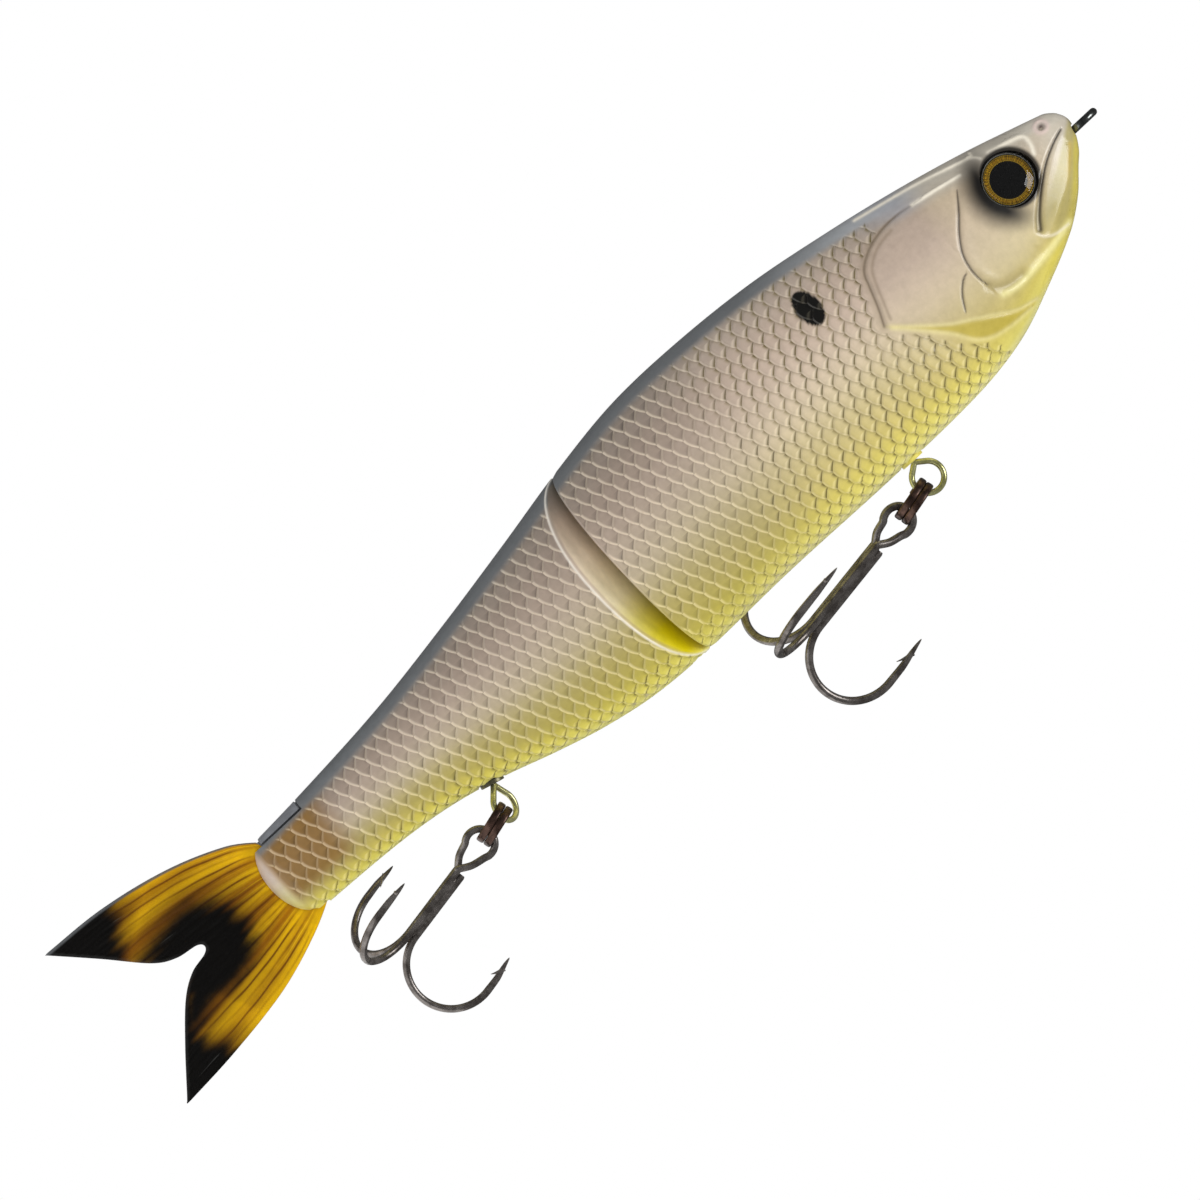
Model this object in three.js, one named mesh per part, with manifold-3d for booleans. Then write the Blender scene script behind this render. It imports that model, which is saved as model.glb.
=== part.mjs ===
// A two-piece jointed glide bait: a hard hollow swimbait that hangs by its line tie.
//
// Everything is modelled in the bait's own axes, in millimetres: x is "back", the distance
// behind the snout, y is "up", towards the fish's back, and z is "side", towards the fish's
// left. A last group turns that into the part's frame: origin at the centre of the line-tie
// loop, +Z towards the nose, +X towards the belly and +Y towards the fish's left.

import * as THREE from "three";
import { LoftGeometry } from "three/addons/geometries/LoftGeometry.js";
import { mergeVertices } from "three/addons/utils/BufferGeometryUtils.js";
import Module from "manifold-3d";

const wasm = await Module();
wasm.setup();

// ---------------------------------------------------------------- driving dimensions, mm
const GAP = 0.3; // between a piece and the pocket that is cut for it
const SEAM = 0.04; // from the middle plane to each half shell
const WALL = 1.8;
const SKIN_POWER = 0.89; // 1 gives elliptical sections, less gives fuller flanks

const SNOUT_ROUND = 2.4;
const BODY_END = 151.3;
const END_ROUND = 4.0;

const HINGE_BACK = 87.0;
const HINGE_EYE_UP = 7.9;
const HINGE_PIN_RADIUS = 0.8;
const KNUCKLE_RADIUS = 2.2; // round front of the tail section, about the pin
const KNUCKLE_ROOM = 0.6;
const FRONT_SLOPE = 0.2; // how far the front section's rear face runs back, per mm of side
const TAIL_SLOPE = 0.627; // the same for the tail section's front face

const TIE_AHEAD = 1.3;
const TIE_UP = 2.4;
const TIE_WIRE = 1.1;
const TIE_LOOP = 1.85; // radius at the middle of the wire

const HANGER_WIRE = 0.85;
const FRONT_HANGER = { back: 47.3, up: -15.42, tilt: 0, turn: 0, loop: 2.2, drop: 3.2 };
const REAR_HANGER = { back: 119.2, up: -8.5, tilt: 14.6, turn: 50, loop: 2.08, drop: 3.6 };

const RING_WIRE = { radial: 0.8, axial: 1.1 };
const FRONT_RING = { radius: 2.9, swing: 20, reach: 1.64, lean: 13 };
const REAR_RING = { radius: 2.7, swing: 25, reach: 1.36, lean: 15 };

// eye is the distance from the split ring's middle to the middle of the treble's eye.
const FRONT_TREBLE = {
  lean: 8.2, roll: 18, wire: 1.15, eye: 3.5, eyeRadius: 2.12, bendAt: 21.3, bend: 6.5, point: 7.4,
};
const REAR_TREBLE = {
  lean: 9.8, roll: 7, wire: 1.05, eye: 3.32, eyeRadius: 2.05, bendAt: 18.7, bend: 6.2, point: 5.4,
};

const EYE = { back: 11.85, up: 3.5, radius: 3.75, foil: 0.5, edge: 0.35, dome: 1.25, sink: 1.5 };

const FIN_THICKNESS = 1.2;
const FIN_TAB = { front: 141.4, floor: -2.9, roof: 6.5, rear: 146.6 };
const FIN_RAIL = { front: 140.8, floor: 6.9, rear: 147.9 };

// Outlines: [back, up] of the back and belly lines, and [back, half width].
const BACK_LINE = profile([
  [0, 6.2], [6, 8.1], [14, 10.5], [24, 13.0], [34, 15.05], [47, 17.2], [60, 18.2],
  [72, 18.15], [84, 16.5], [96, 14.2], [110, 11.7], [124, 9.6], [140, 8.2], [152, 7.5],
]);
const BELLY_LINE = profile([
  [0, 1.4], [3, -1.3], [6, -4.4], [10, -7.3], [17, -10.6], [25, -13.6], [34, -15.05], [50, -15.4],
  [70, -15.15], [86, -15.4], [95, -14.9], [103, -13.4], [110, -11.4], [118, -8.8], [126, -6.9],
  [135, -5.8], [152, -5.0],
]);
const HALF_WIDTH = profile([
  [0, 2.6], [5, 5.0], [9, 6.2], [15, 7.5], [24, 9.2], [35, 10.5], [50, 11.3], [68, 11.5],
  [84, 11.2], [96, 10.3], [108, 8.6], [120, 6.6], [132, 5.0], [144, 3.9], [152, 3.4],
]);
const WIDEST_LINE = profile([[0, 3.9], [10, 2.4], [30, 1.2], [90, 0.6], [152, 1.2]]);

// ---------------------------------------------------------------- small tools

// A smooth function through [x, value] points.
function profile(points) {
  const slopes = points.map((_, i) => {
    const a = points[Math.max(i - 1, 0)];
    const b = points[Math.min(i + 1, points.length - 1)];
    return (b[1] - a[1]) / (b[0] - a[0]);
  });
  return (x) => {
    const last = points.length - 2;
    const next = points.findIndex((p) => p[0] > x);
    const i = next < 1 ? (next < 0 ? last : 0) : next - 1;
    const [x0, y0] = points[i];
    const [x1, y1] = points[i + 1];
    const span = x1 - x0;
    const t = (x - x0) / span;
    const rise = y1 - y0;
    const a = slopes[i] * span - rise;
    const b = rise - slopes[i + 1] * span;
    return y0 + t * rise + t * (1 - t) * ((1 - t) * a + t * b);
  };
}

const radians = THREE.MathUtils.degToRad;
const vector = (back, up, side = 0) => new THREE.Vector3(back, up, side);
const turnTo = (from, to) => new THREE.Quaternion().setFromUnitVectors(from, to);
const UP_AXIS = vector(0, 1, 0);
const SIDE_AXIS = vector(0, 0, 1);

// A closed geometry as a solid that can be cut and joined.
function solid(geometry) {
  const bare = new THREE.BufferGeometry();
  bare.setAttribute("position", geometry.getAttribute("position"));
  bare.setIndex(geometry.index);
  const merged = mergeVertices(bare, 1e-4);
  const index = merged.index.array;
  const triangles = [];
  for (let i = 0; i < index.length; i += 3) {
    const [a, b, c] = index.subarray(i, i + 3);
    if (a !== b && b !== c && c !== a) triangles.push(a, b, c);
  }
  return new wasm.Manifold(
    new wasm.Mesh({
      numProp: 3,
      vertProperties: merged.attributes.position.array,
      triVerts: new Uint32Array(triangles),
    }),
  );
}

// A solid back as a geometry.
function geometryOf(body) {
  const made = body.getMesh();
  const geometry = new THREE.BufferGeometry();
  geometry.setAttribute("position", new THREE.BufferAttribute(made.vertProperties, 3));
  geometry.setIndex(new THREE.BufferAttribute(made.triVerts, 1));
  geometry.computeVertexNormals();
  return geometry;
}

const join = (...bodies) => bodies.reduce((all, next) => all.add(next));
const cut = (body, ...tools) => tools.reduce((left, tool) => left.subtract(tool), body);

// A box from its low to its high corner.
function block(low, high) {
  const size = high.clone().sub(low);
  const middle = high.clone().add(low).multiplyScalar(0.5);
  return solid(new THREE.BoxGeometry(size.x, size.y, size.z).translate(middle.x, middle.y, middle.z));
}

// A round bar from one point to another.
function bar(from, to, radius, endRadius = radius, sides = 12) {
  const along = to.clone().sub(from);
  const geometry = new THREE.CylinderGeometry(endRadius, radius, along.length(), sides);
  geometry.applyQuaternion(turnTo(UP_AXIS, along.normalize()));
  const middle = from.clone().add(to).multiplyScalar(0.5);
  return solid(geometry.translate(middle.x, middle.y, middle.z));
}

// A closed ring of wire. axis is the ring's own axis.
const WIRE_SIDES = 7;
function ring(centre, radius, wireRadius, axis, sides = WIRE_SIDES, steps = 16) {
  const geometry = new THREE.TorusGeometry(radius, wireRadius, sides, steps);
  geometry.applyQuaternion(turnTo(SIDE_AXIS, axis));
  return solid(geometry.translate(centre.x, centre.y, centre.z));
}

// A wire of any section along a path.
function wire(path, width, height, steps, sides = 8) {
  const section = new THREE.Shape();
  section.absellipse(0, 0, width / 2, height / 2, 0, 2 * Math.PI);
  const outline = new THREE.Shape(section.getSpacedPoints(sides).slice(0, sides));
  return solid(new THREE.ExtrudeGeometry(outline, { steps, extrudePath: path, curveSegments: 1 }));
}

// A flat outline of [back, side] points as an upright block, cut by planes at low and high.
function upright(points, low, high) {
  const shape = new THREE.Shape(points.map(([back, side]) => new THREE.Vector2(back, side)));
  const geometry = new THREE.ExtrudeGeometry(shape, { depth: high - low, bevelEnabled: false });
  return solid(geometry.rotateX(Math.PI / 2).translate(0, high, 0));
}

// ---------------------------------------------------------------- the body's skin

// How much of its full section the body has near its two round ends.
function roundness(back) {
  const ahead = Math.max(0, 1 - back / SNOUT_ROUND);
  const behind = Math.max(0, 1 - (BODY_END - back) / END_ROUND);
  return Math.sqrt(1 - ahead * ahead) * Math.sqrt(1 - behind * behind);
}

// The section of the skin at one distance from the snout, shrunk by inset.
function section(back, inset, sides) {
  const middle = WIDEST_LINE(back);
  const size = Math.max(roundness(back), 0.02);
  const points = [];
  for (let i = 0; i < sides; i++) {
    const angle = (2 * Math.PI * i) / sides;
    const rise = Math.sign(Math.cos(angle)) * Math.abs(Math.cos(angle)) ** SKIN_POWER;
    const spread = Math.sign(Math.sin(angle)) * Math.abs(Math.sin(angle)) ** SKIN_POWER;
    const height = rise > 0 ? BACK_LINE(back) - middle - inset : middle - BELLY_LINE(back) - inset;
    const width = HALF_WIDTH(back) - inset;
    points.push(vector(back, middle + rise * height * size, spread * width * size));
  }
  return points;
}

// A length of the body as one solid. bunch above 1 puts more sections near the start.
function bodyLength(from, to, count, sides, inset = 0, bunch = 1) {
  const sections = [];
  for (let i = 0; i <= count; i++) {
    sections.push(section(from + (to - from) * (i / count) ** bunch, inset, sides));
  }
  return solid(new LoftGeometry(sections, { capStart: true, capEnd: true }));
}

// The right or the left half of a solid.
function half(body, left) {
  const far = 60;
  const low = left ? SEAM : -far;
  const high = left ? far : -SEAM;
  return body.intersect(block(vector(-far, -far, low), vector(4 * far, far, high)));
}

// ---------------------------------------------------------------- wire parts

// A screw-eye shape in one wire: a loop that lies flat, a stem, and an anchor ring on edge.
const ANCHOR_LOOP = 1.5;
function wireEye(loopBack, loopRadius, anchorBack, up, radius) {
  const behind = Math.sign(loopBack - anchorBack);
  const stemStart = vector(loopBack - behind * loopRadius, up);
  const stemEnd = vector(anchorBack + behind * ANCHOR_LOOP, up);
  return join(
    ring(vector(loopBack, up), loopRadius, radius, UP_AXIS),
    bar(stemStart, stemEnd, radius, radius, WIRE_SIDES),
    ring(vector(anchorBack, up), ANCHOR_LOOP, radius, SIDE_AXIS, WIRE_SIDES, 10),
  );
}

// Line tie: the loop is ahead of the snout and the anchor is held in the head.
const TIE_ANCHOR = 5.2;
function lineTie(grow) {
  return wireEye(-TIE_AHEAD, TIE_LOOP, TIE_ANCHOR, TIE_UP, TIE_WIRE / 2 + grow);
}

// Hinge eye: the loop is round the pin and the anchor is held in the front section.
const HINGE_EYE = { loop: 1.75, wire: 1.2, anchor: 80.6 };
function hingeEye(up, grow) {
  return wireEye(HINGE_BACK, HINGE_EYE.loop, HINGE_EYE.anchor, up, HINGE_EYE.wire / 2 + grow);
}

// Swivel hook hanger, with its stem on the axis of its bushing: y points into the body and
// y = 0 is on the belly.
const HANGER_HEAD = { radius: 1.2, low: 5.1, high: 5.9 };
function hanger({ turn, loop, drop }) {
  const radius = HANGER_WIRE / 2;
  const axis = vector(0, 0, 1).applyAxisAngle(UP_AXIS, radians(turn));
  return join(
    ring(vector(0, -drop), loop, radius, axis),
    bar(vector(0, loop - drop), vector(0, HANGER_HEAD.low + 0.1), radius),
    bar(vector(0, HANGER_HEAD.low), vector(0, HANGER_HEAD.high), HANGER_HEAD.radius),
  );
}

// The flanged bushing that the hanger turns in.
const BUSHING = { bore: 0.75, radius: 1.5, length: 4.8, flange: 1.75, proud: 0.25, flangeTop: 0.3 };
function bushing() {
  const { bore, radius, length, flange, proud, flangeTop } = BUSHING;
  const outline = [
    [bore, -proud], [flange, -proud], [flange, flangeTop],
    [radius, flangeTop], [radius, length], [bore, length], [bore, -proud],
  ];
  return solid(new THREE.LatheGeometry(outline.map(([r, y]) => new THREE.Vector2(r, y)), 16));
}

// The pocket for a hanger's bushing and head, open below the belly.
function hangerPocket() {
  const opening = vector(0, -3);
  const headRoom = HANGER_HEAD.radius + GAP + 0.1;
  return join(
    bar(opening, vector(0, BUSHING.flangeTop + GAP), BUSHING.flange + GAP),
    bar(opening, vector(0, BUSHING.length + GAP), BUSHING.radius + GAP),
    bar(vector(0, BUSHING.length / 2), vector(0, HANGER_HEAD.high + GAP), headRoom),
  );
}

// A solid moved from a hanger's own axes to its place on the belly.
function atHanger(body, { back, up, tilt }) {
  return body.rotate([0, 0, tilt]).translate([back, up, 0]);
}

// ---------------------------------------------------------------- split rings and trebles

// Split ring: two turns of flattened wire side by side, with a crossover between them.
// Its axis is y and its centre is the origin; the ends sit at +z, where nothing hooks in.
// Angles are in degrees.
const COIL = { sweep: 690, start: -75, crossover: 60, spacing: RING_WIRE.axial + 0.08 };
class SplitRingPath extends THREE.Curve {
  constructor(radius) {
    super();
    this.radius = radius;
  }
  getPoint(t, target = new THREE.Vector3()) {
    const sweep = COIL.sweep * t;
    const low = (COIL.sweep - COIL.crossover) / 2;
    const climb = THREE.MathUtils.smoothstep(sweep, low, low + COIL.crossover) - 0.5;
    const angle = radians(sweep + COIL.start);
    const height = climb * COIL.spacing;
    return target.set(this.radius * Math.cos(angle), height, -this.radius * Math.sin(angle));
  }
}

function splitRing({ radius }) {
  return wire(new SplitRingPath(radius), RING_WIRE.radial, RING_WIRE.axial, 38);
}

// A point of a treble: x along the shank from the middle of the split ring, and drop away
// from the shank's middle line in the direction of a roll angle, where 0 is straight down.
function treblePoint(x, drop, roll) {
  return vector(x, -drop * Math.cos(radians(roll)), drop * Math.sin(radians(roll)));
}

// One hook of a treble from its shank to its point, in the plane of its roll angle. The
// barb is on the inner side, and its places are shares of the point's length and the wire.
const BARB = { root: 0.62, tip: 0.36, rootLift: 0.15, tipLift: 1.05, thick: 0.32 };
function hook(treble, roll, shankStart) {
  const { wire: thick, bendAt, bend, point } = treble;
  const offset = shankOffset(treble);
  const place = (x, drop) => treblePoint(x, drop, roll);
  const path = new THREE.CurvePath();
  path.add(new THREE.LineCurve3(place(shankStart, offset), place(bendAt, offset)));
  const round = [];
  for (let i = 0; i <= 10; i++) {
    const angle = (Math.PI * i) / 10;
    round.push(place(bendAt + bend * Math.sin(angle), offset + bend * (1 - Math.cos(angle))));
  }
  path.add(new THREE.CatmullRomCurve3(round));
  const spear = place(bendAt - point * 0.45, offset + 2 * bend);
  path.add(new THREE.LineCurve3(round[10], spear));
  const tip = place(bendAt - point, offset + 2 * bend - 0.35);
  const barbRoot = place(bendAt - point * BARB.root, offset + 2 * bend - thick * BARB.rootLift);
  const barbTip = place(bendAt - point * BARB.tip, offset + 2 * bend - thick * BARB.tipLift);
  return join(
    wire(path, thick, thick, 20, WIRE_SIDES),
    bar(place(bendAt - point * 0.4, offset + 2 * bend), tip, thick / 2, 0.06, WIRE_SIDES),
    bar(barbRoot, barbTip, thick * BARB.thick, 0.05, 6),
  );
}

// The distance from the treble's middle line to each of its three shank wires.
function shankOffset({ wire: thick }) {
  return (thick + 0.08) / Math.sqrt(3);
}

// Two of the hooks are one wire, which also makes the eye. Its legs leave the eye where they
// are a share of the eye's radius apart, and meet the shanks at the neck.
const TREBLE_NECK = 7.3;
const LEG_START = { behindEye: 1.3, spread: 0.8 };
function doubleHook(treble) {
  const { wire: thick, eye, eyeRadius, roll } = treble;
  const offset = shankOffset(treble);
  const leg = (eyeSide, shankSide) => {
    const start = treblePoint(eye + LEG_START.behindEye, eyeRadius * LEG_START.spread, eyeSide);
    return bar(start, treblePoint(TREBLE_NECK, offset, shankSide), thick / 2, thick / 2, WIRE_SIDES);
  };
  const axis = vector(0, 0, 1).applyAxisAngle(vector(1, 0), -radians(roll));
  return join(
    ring(vector(eye, 0), eyeRadius, thick / 2, axis),
    leg(roll, roll - 120),
    leg(roll + 180, roll + 120),
    hook(treble, roll - 120, TREBLE_NECK - 0.4),
    hook(treble, roll + 120, TREBLE_NECK - 0.4),
  );
}

// The third hook is brazed along the other two.
const singleHook = (treble) => hook(treble, treble.roll, TREBLE_NECK + 0.9);

// ---------------------------------------------------------------- sections of the body

// Cuts reach this far past the skin, in side and in up.
const FAR = 30;

// A round bar along the hinge's axis, from below the belly to above the back.
function hingeBar(radius) {
  return bar(vector(HINGE_BACK, -FAR), vector(HINGE_BACK, FAR), radius, radius, 24);
}

// The front section's rear face is a shallow V with a groove for the knuckle.
function frontCut() {
  const middle = HINGE_BACK - 2.4;
  const rim = middle + FRONT_SLOPE * FAR;
  const wedge = [[middle, 0], [rim, -FAR], [140, -FAR], [140, FAR], [rim, FAR]];
  return join(upright(wedge, -FAR, FAR), hingeBar(KNUCKLE_RADIUS + KNUCKLE_ROOM));
}

// The tail section's front is a steeper V behind a round knuckle.
function tailWedge() {
  const slope = Math.atan(TAIL_SLOPE);
  const back = HINGE_BACK - KNUCKLE_RADIUS * Math.cos(slope);
  const side = KNUCKLE_RADIUS * Math.sin(slope);
  const rim = back + TAIL_SLOPE * (FAR - side);
  const wedge = [[back, side], [back, -side], [rim, -FAR], [170, -FAR], [170, FAR], [rim, FAR]];
  return join(upright(wedge, -FAR, FAR), hingeBar(KNUCKLE_RADIUS));
}

// Ribs and posts stay standing when the inside is hollowed out.
const rib = (back, thick, low = -20, high = 20) =>
  block(vector(back, low, -20), vector(back + thick, high, 20));
const post = (back, up, radius = 2) =>
  bar(vector(back, up, -20), vector(back, up, 20), radius, radius, 10);

function eyeFrame(left) {
  const side = left ? 1 : -1;
  const points = section(EYE.back, 0, 4);
  const reach = Math.abs(points[1].z);
  const outward = vector(-0.2, 0.04, side).normalize();
  return { centre: vector(EYE.back, EYE.up, side * reach * 0.985), outward };
}

function eyeSocket(left) {
  const { centre, outward } = eyeFrame(left);
  const from = centre.clone().addScaledVector(outward, -EYE.sink - 0.3);
  const to = centre.clone().addScaledVector(outward, 4);
  return bar(from, to, EYE.radius + GAP, EYE.radius + GAP, 24);
}

function frontSection() {
  const skin = bodyLength(0, 92, 22, 24, 0, 1.7);
  const room = bodyLength(18, 77.5, 7, 12, WALL);
  const frame = join(
    rib(26.5, 1.3, -20, -1), rib(39.8, 1.3, -20, -1), rib(43.5, 8, -20, -6.5), rib(53.4, 1.3, -20, -1),
    rib(74.9, 1.3, -20, -1), post(24, 7), post(40, 8), post(59, 9), post(74, 9),
  );
  return cut(
    skin,
    room.subtract(frame),
    frontCut(),
    lineTie(GAP),
    hingeEye(HINGE_EYE_UP, GAP),
    hingeEye(-HINGE_EYE_UP, GAP),
    atHanger(hangerPocket(), FRONT_HANGER),
    eyeSocket(true),
    eyeSocket(false),
  );
}

// The slot that one hinge eye swings in.
function hingeSlot(up) {
  const reach = HINGE_EYE.loop + HINGE_EYE.wire / 2 + 0.35;
  const low = up - HINGE_EYE.wire / 2 - GAP;
  const high = up + HINGE_EYE.wire / 2 + GAP;
  return join(
    bar(vector(HINGE_BACK, low), vector(HINGE_BACK, high), reach, undefined, 20),
    block(vector(80, low, -reach), vector(HINGE_BACK, high, reach)),
  );
}

// The pin goes in from the belly, and a plug closes its hole.
const PIN = { low: -13.6, high: 12.6, plugLow: -14.9 };
const pinBar = (low, high, radius = HINGE_PIN_RADIUS) =>
  bar(vector(HINGE_BACK, low), vector(HINGE_BACK, high), radius);

// The fin's slot is open at the top and at the rear, so the fin lifts out upwards.
function finSlot() {
  const side = FIN_THICKNESS / 2 + GAP;
  return join(
    block(vector(FIN_TAB.front - GAP, FIN_TAB.floor - GAP, -side), vector(160, 20, side)),
    block(vector(FIN_TAB.rear - GAP, -20, -side), vector(160, 20, side)),
    block(vector(FIN_RAIL.front - GAP, FIN_RAIL.floor - GAP, -20), vector(160, 20, 20)),
  );
}

function tailSection() {
  const skin = bodyLength(82, BODY_END, 20, 24).intersect(tailWedge());
  const room = bodyLength(94.5, 136, 6, 12, WALL);
  const frame = join(
    rib(96, 1.2, -20, -1), rib(109.2, 1.2, -20, -1), rib(114.5, 8, -20, -0.5),
    post(98, 8, 1.8), post(112, 5.5, 1.8), post(128, 2.5, 1.6),
  );
  return cut(
    skin,
    room.subtract(frame),
    hingeSlot(HINGE_EYE_UP),
    hingeSlot(-HINGE_EYE_UP),
    pinBar(-20, PIN.high + GAP, HINGE_PIN_RADIUS + GAP),
    atHanger(hangerPocket(), REAR_HANGER),
    finSlot(),
  );
}

// ---------------------------------------------------------------- tail fin

// The fin is a forked plate with a tab that goes down into the slot.
const pair = ([x, y]) => new THREE.Vector2(x, y);
function tailFin() {
  const outline = new THREE.Shape();
  outline.moveTo(FIN_TAB.rear, -5.0);
  outline.splineThru([[153, -7.8], [160, -9.9], [170, -11.4], [178.7, -12.1]].map(pair));
  outline.lineTo(179.2, -11.6);
  outline.splineThru([[174.4, -6.2], [170, -1.6], [166.8, 0.5]].map(pair));
  outline.splineThru([[163.9, 1.2], [163.1, 2.0], [163.9, 2.8]].map(pair));
  outline.splineThru([[167, 3.4], [170, 5.2], [174.6, 10.3], [179.6, 15.3]].map(pair));
  outline.lineTo(179.3, 15.9);
  outline.splineThru([[170, 15.3], [160, 13.2], [152, 10.1], [148.2, 7.6]].map(pair));
  outline.lineTo(FIN_TAB.rear, FIN_TAB.roof);
  outline.lineTo(FIN_TAB.front, FIN_TAB.roof);
  outline.lineTo(FIN_TAB.front, FIN_TAB.floor);
  outline.lineTo(FIN_TAB.rear, FIN_TAB.floor);
  const geometry = new THREE.ExtrudeGeometry(outline, {
    depth: FIN_THICKNESS, bevelEnabled: false, curveSegments: 4,
  });
  const fin = solid(geometry.translate(0, 0, -FIN_THICKNESS / 2));
  const railRoom = block(vector(100, FIN_RAIL.floor - GAP, -5), vector(FIN_RAIL.rear + GAP, 30, 5));
  return fin.subtract(railRoom);
}

// The rail is the slice of the tail section's back that slides in with the fin.
function finRail() {
  const { front, floor, rear } = FIN_RAIL;
  const skin = bodyLength(138, BODY_END, 6, 24);
  return skin.intersect(block(vector(front, floor, -20), vector(rear, 20, 20)));
}

// ---------------------------------------------------------------- materials

function finish(color, roughness, metalness = 0) {
  return new THREE.MeshStandardMaterial({ color, roughness, metalness });
}
const PEARL = finish(0xb9ab98, 0.3);
const STEEL = finish(0x6c6a66, 0.3, 1);
const BRIGHT_STEEL = finish(0xb5b8a0, 0.25, 1);
const BRONZE = finish(0x4a4038, 0.32, 1);
const LEAD = finish(0x83868a, 0.5, 1);
const BRASS = finish(0xa89a62, 0.35, 1);
const FOIL = finish(0xb08a35, 0.3, 0.8);
const LENS = finish(0xdfe4e2, 0.05);
const AMBER = finish(0xc8901c, 0.4);
const GREY = finish(0x7f8488, 0.35);

// ---------------------------------------------------------------- the assembly

const lure = new THREE.Group();

function piece(name, body, material, parent = lure) {
  const mesh = new THREE.Mesh(geometryOf(body), material.clone());
  mesh.name = name;
  parent.add(mesh);
  return mesh;
}

const front = frontSection();
piece("front_shell_right", half(front, false), PEARL);
piece("front_shell_left", half(front, true), PEARL);
piece("line_tie", lineTie(0), STEEL);
piece("hinge_eye_upper", hingeEye(HINGE_EYE_UP, 0), STEEL);
piece("hinge_eye_lower", hingeEye(-HINGE_EYE_UP, 0), STEEL);
piece("front_ballast_fore", bar(vector(28.4, -8.3), vector(39.4, -8.9), 3.4, undefined, 12), LEAD);
piece("front_ballast_main", bar(vector(55.1, -8.6), vector(74.5, -8.6), 4.1, undefined, 12), LEAD);

// An eye is a flat foil disc in its socket with a domed clear lens over it.
for (const left of [false, true]) {
  const name = left ? "left" : "right";
  const { centre, outward } = eyeFrame(left);
  const along = (depth) => centre.clone().addScaledVector(outward, depth);
  const foilTop = EYE.foil - EYE.sink;
  const foil = bar(along(-EYE.sink), along(foilTop), EYE.radius, undefined, 24);
  piece(`eye_foil_${name}`, foil, FOIL);

  const outline = [new THREE.Vector2(0, 0), new THREE.Vector2(EYE.radius, 0)];
  for (let i = 0; i <= 5; i++) {
    const angle = (Math.PI * i) / 10;
    const height = EYE.edge + EYE.dome * Math.sin(angle);
    outline.push(new THREE.Vector2(EYE.radius * Math.cos(angle), height));
  }
  const lens = new THREE.LatheGeometry(outline, 24).applyQuaternion(turnTo(UP_AXIS, outward));
  const seat = along(foilTop + 0.08);
  piece(`eye_lens_${name}`, solid(lens.translate(seat.x, seat.y, seat.z)), LENS);
}

const tail = tailSection();
piece("tail_shell_right", half(tail, false), PEARL);
piece("tail_shell_left", half(tail, true), PEARL);
piece("hinge_pin", pinBar(PIN.low, PIN.high), STEEL);
piece("hinge_pin_plug", pinBar(PIN.plugLow, PIN.low - 0.1), PEARL);
piece("tail_ballast", bar(vector(97.6, -6.4), vector(108.8, -6.4), 3.2, undefined, 12), LEAD);
piece("tail_fin", tailFin(), AMBER);
piece("tail_fin_rail", finRail(), GREY);

// A hanger, its split ring and its treble, each in the group of the one it hangs from.
function hookSet(name, place, ringSize, treble) {
  const mount = new THREE.Group();
  mount.position.set(place.back, place.up, 0);
  mount.rotation.z = radians(place.tilt);
  lure.add(mount);
  piece(`${name}_hook_hanger`, hanger(place), BRIGHT_STEEL, mount);
  piece(`${name}_hanger_bushing`, bushing(), BRASS, mount);

  const inPlane = vector(1, 0).applyAxisAngle(UP_AXIS, radians(place.turn));
  const swing = radians(ringSize.swing);
  const hold = vector(0, -place.drop)
    .addScaledVector(inPlane, place.loop * Math.cos(swing))
    .add(vector(0, -place.loop * Math.sin(swing)));
  mount.updateMatrixWorld();
  const seat = mount.localToWorld(hold);
  const lean = radians(ringSize.lean);
  seat.add(vector(ringSize.reach * Math.cos(lean), -ringSize.reach * Math.sin(lean)));

  const ringMesh = piece(`${name}_split_ring`, splitRing(ringSize), BRONZE);
  ringMesh.position.copy(seat);
  ringMesh.rotation.z = -lean;

  const hooks = new THREE.Group();
  hooks.position.copy(seat);
  hooks.rotation.z = -radians(treble.lean);
  lure.add(hooks);
  piece(`${name}_treble_double_hook`, doubleHook(treble), BRONZE, hooks);
  piece(`${name}_treble_single_hook`, singleHook(treble), BRONZE, hooks);
}
hookSet("front", FRONT_HANGER, FRONT_RING, FRONT_TREBLE);
hookSet("rear", REAR_HANGER, REAR_RING, REAR_TREBLE);

// The bait hangs nose up from the middle of its line-tie loop.
lure.quaternion.setFromRotationMatrix(
  new THREE.Matrix4().makeBasis(vector(0, 0, -1), vector(-1, 0, 0), vector(0, 1, 0)),
);
lure.position.copy(vector(-TIE_AHEAD, TIE_UP).applyQuaternion(lure.quaternion).negate());

const part = new THREE.Group();
part.add(lure);
export default part;
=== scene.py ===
"""A two-piece jointed glide bait that hangs nose up from its line tie.

Shapes are made in the bait's own axes, in millimetres: back is the distance behind the snout, up is
towards the fish's back and side towards its left. LURE_TO_ROW then places them in the CAD's frame.
"""

import math
from itertools import product

import bmesh
import bpy
import numpy as np
from mathutils import Matrix, Vector


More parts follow.
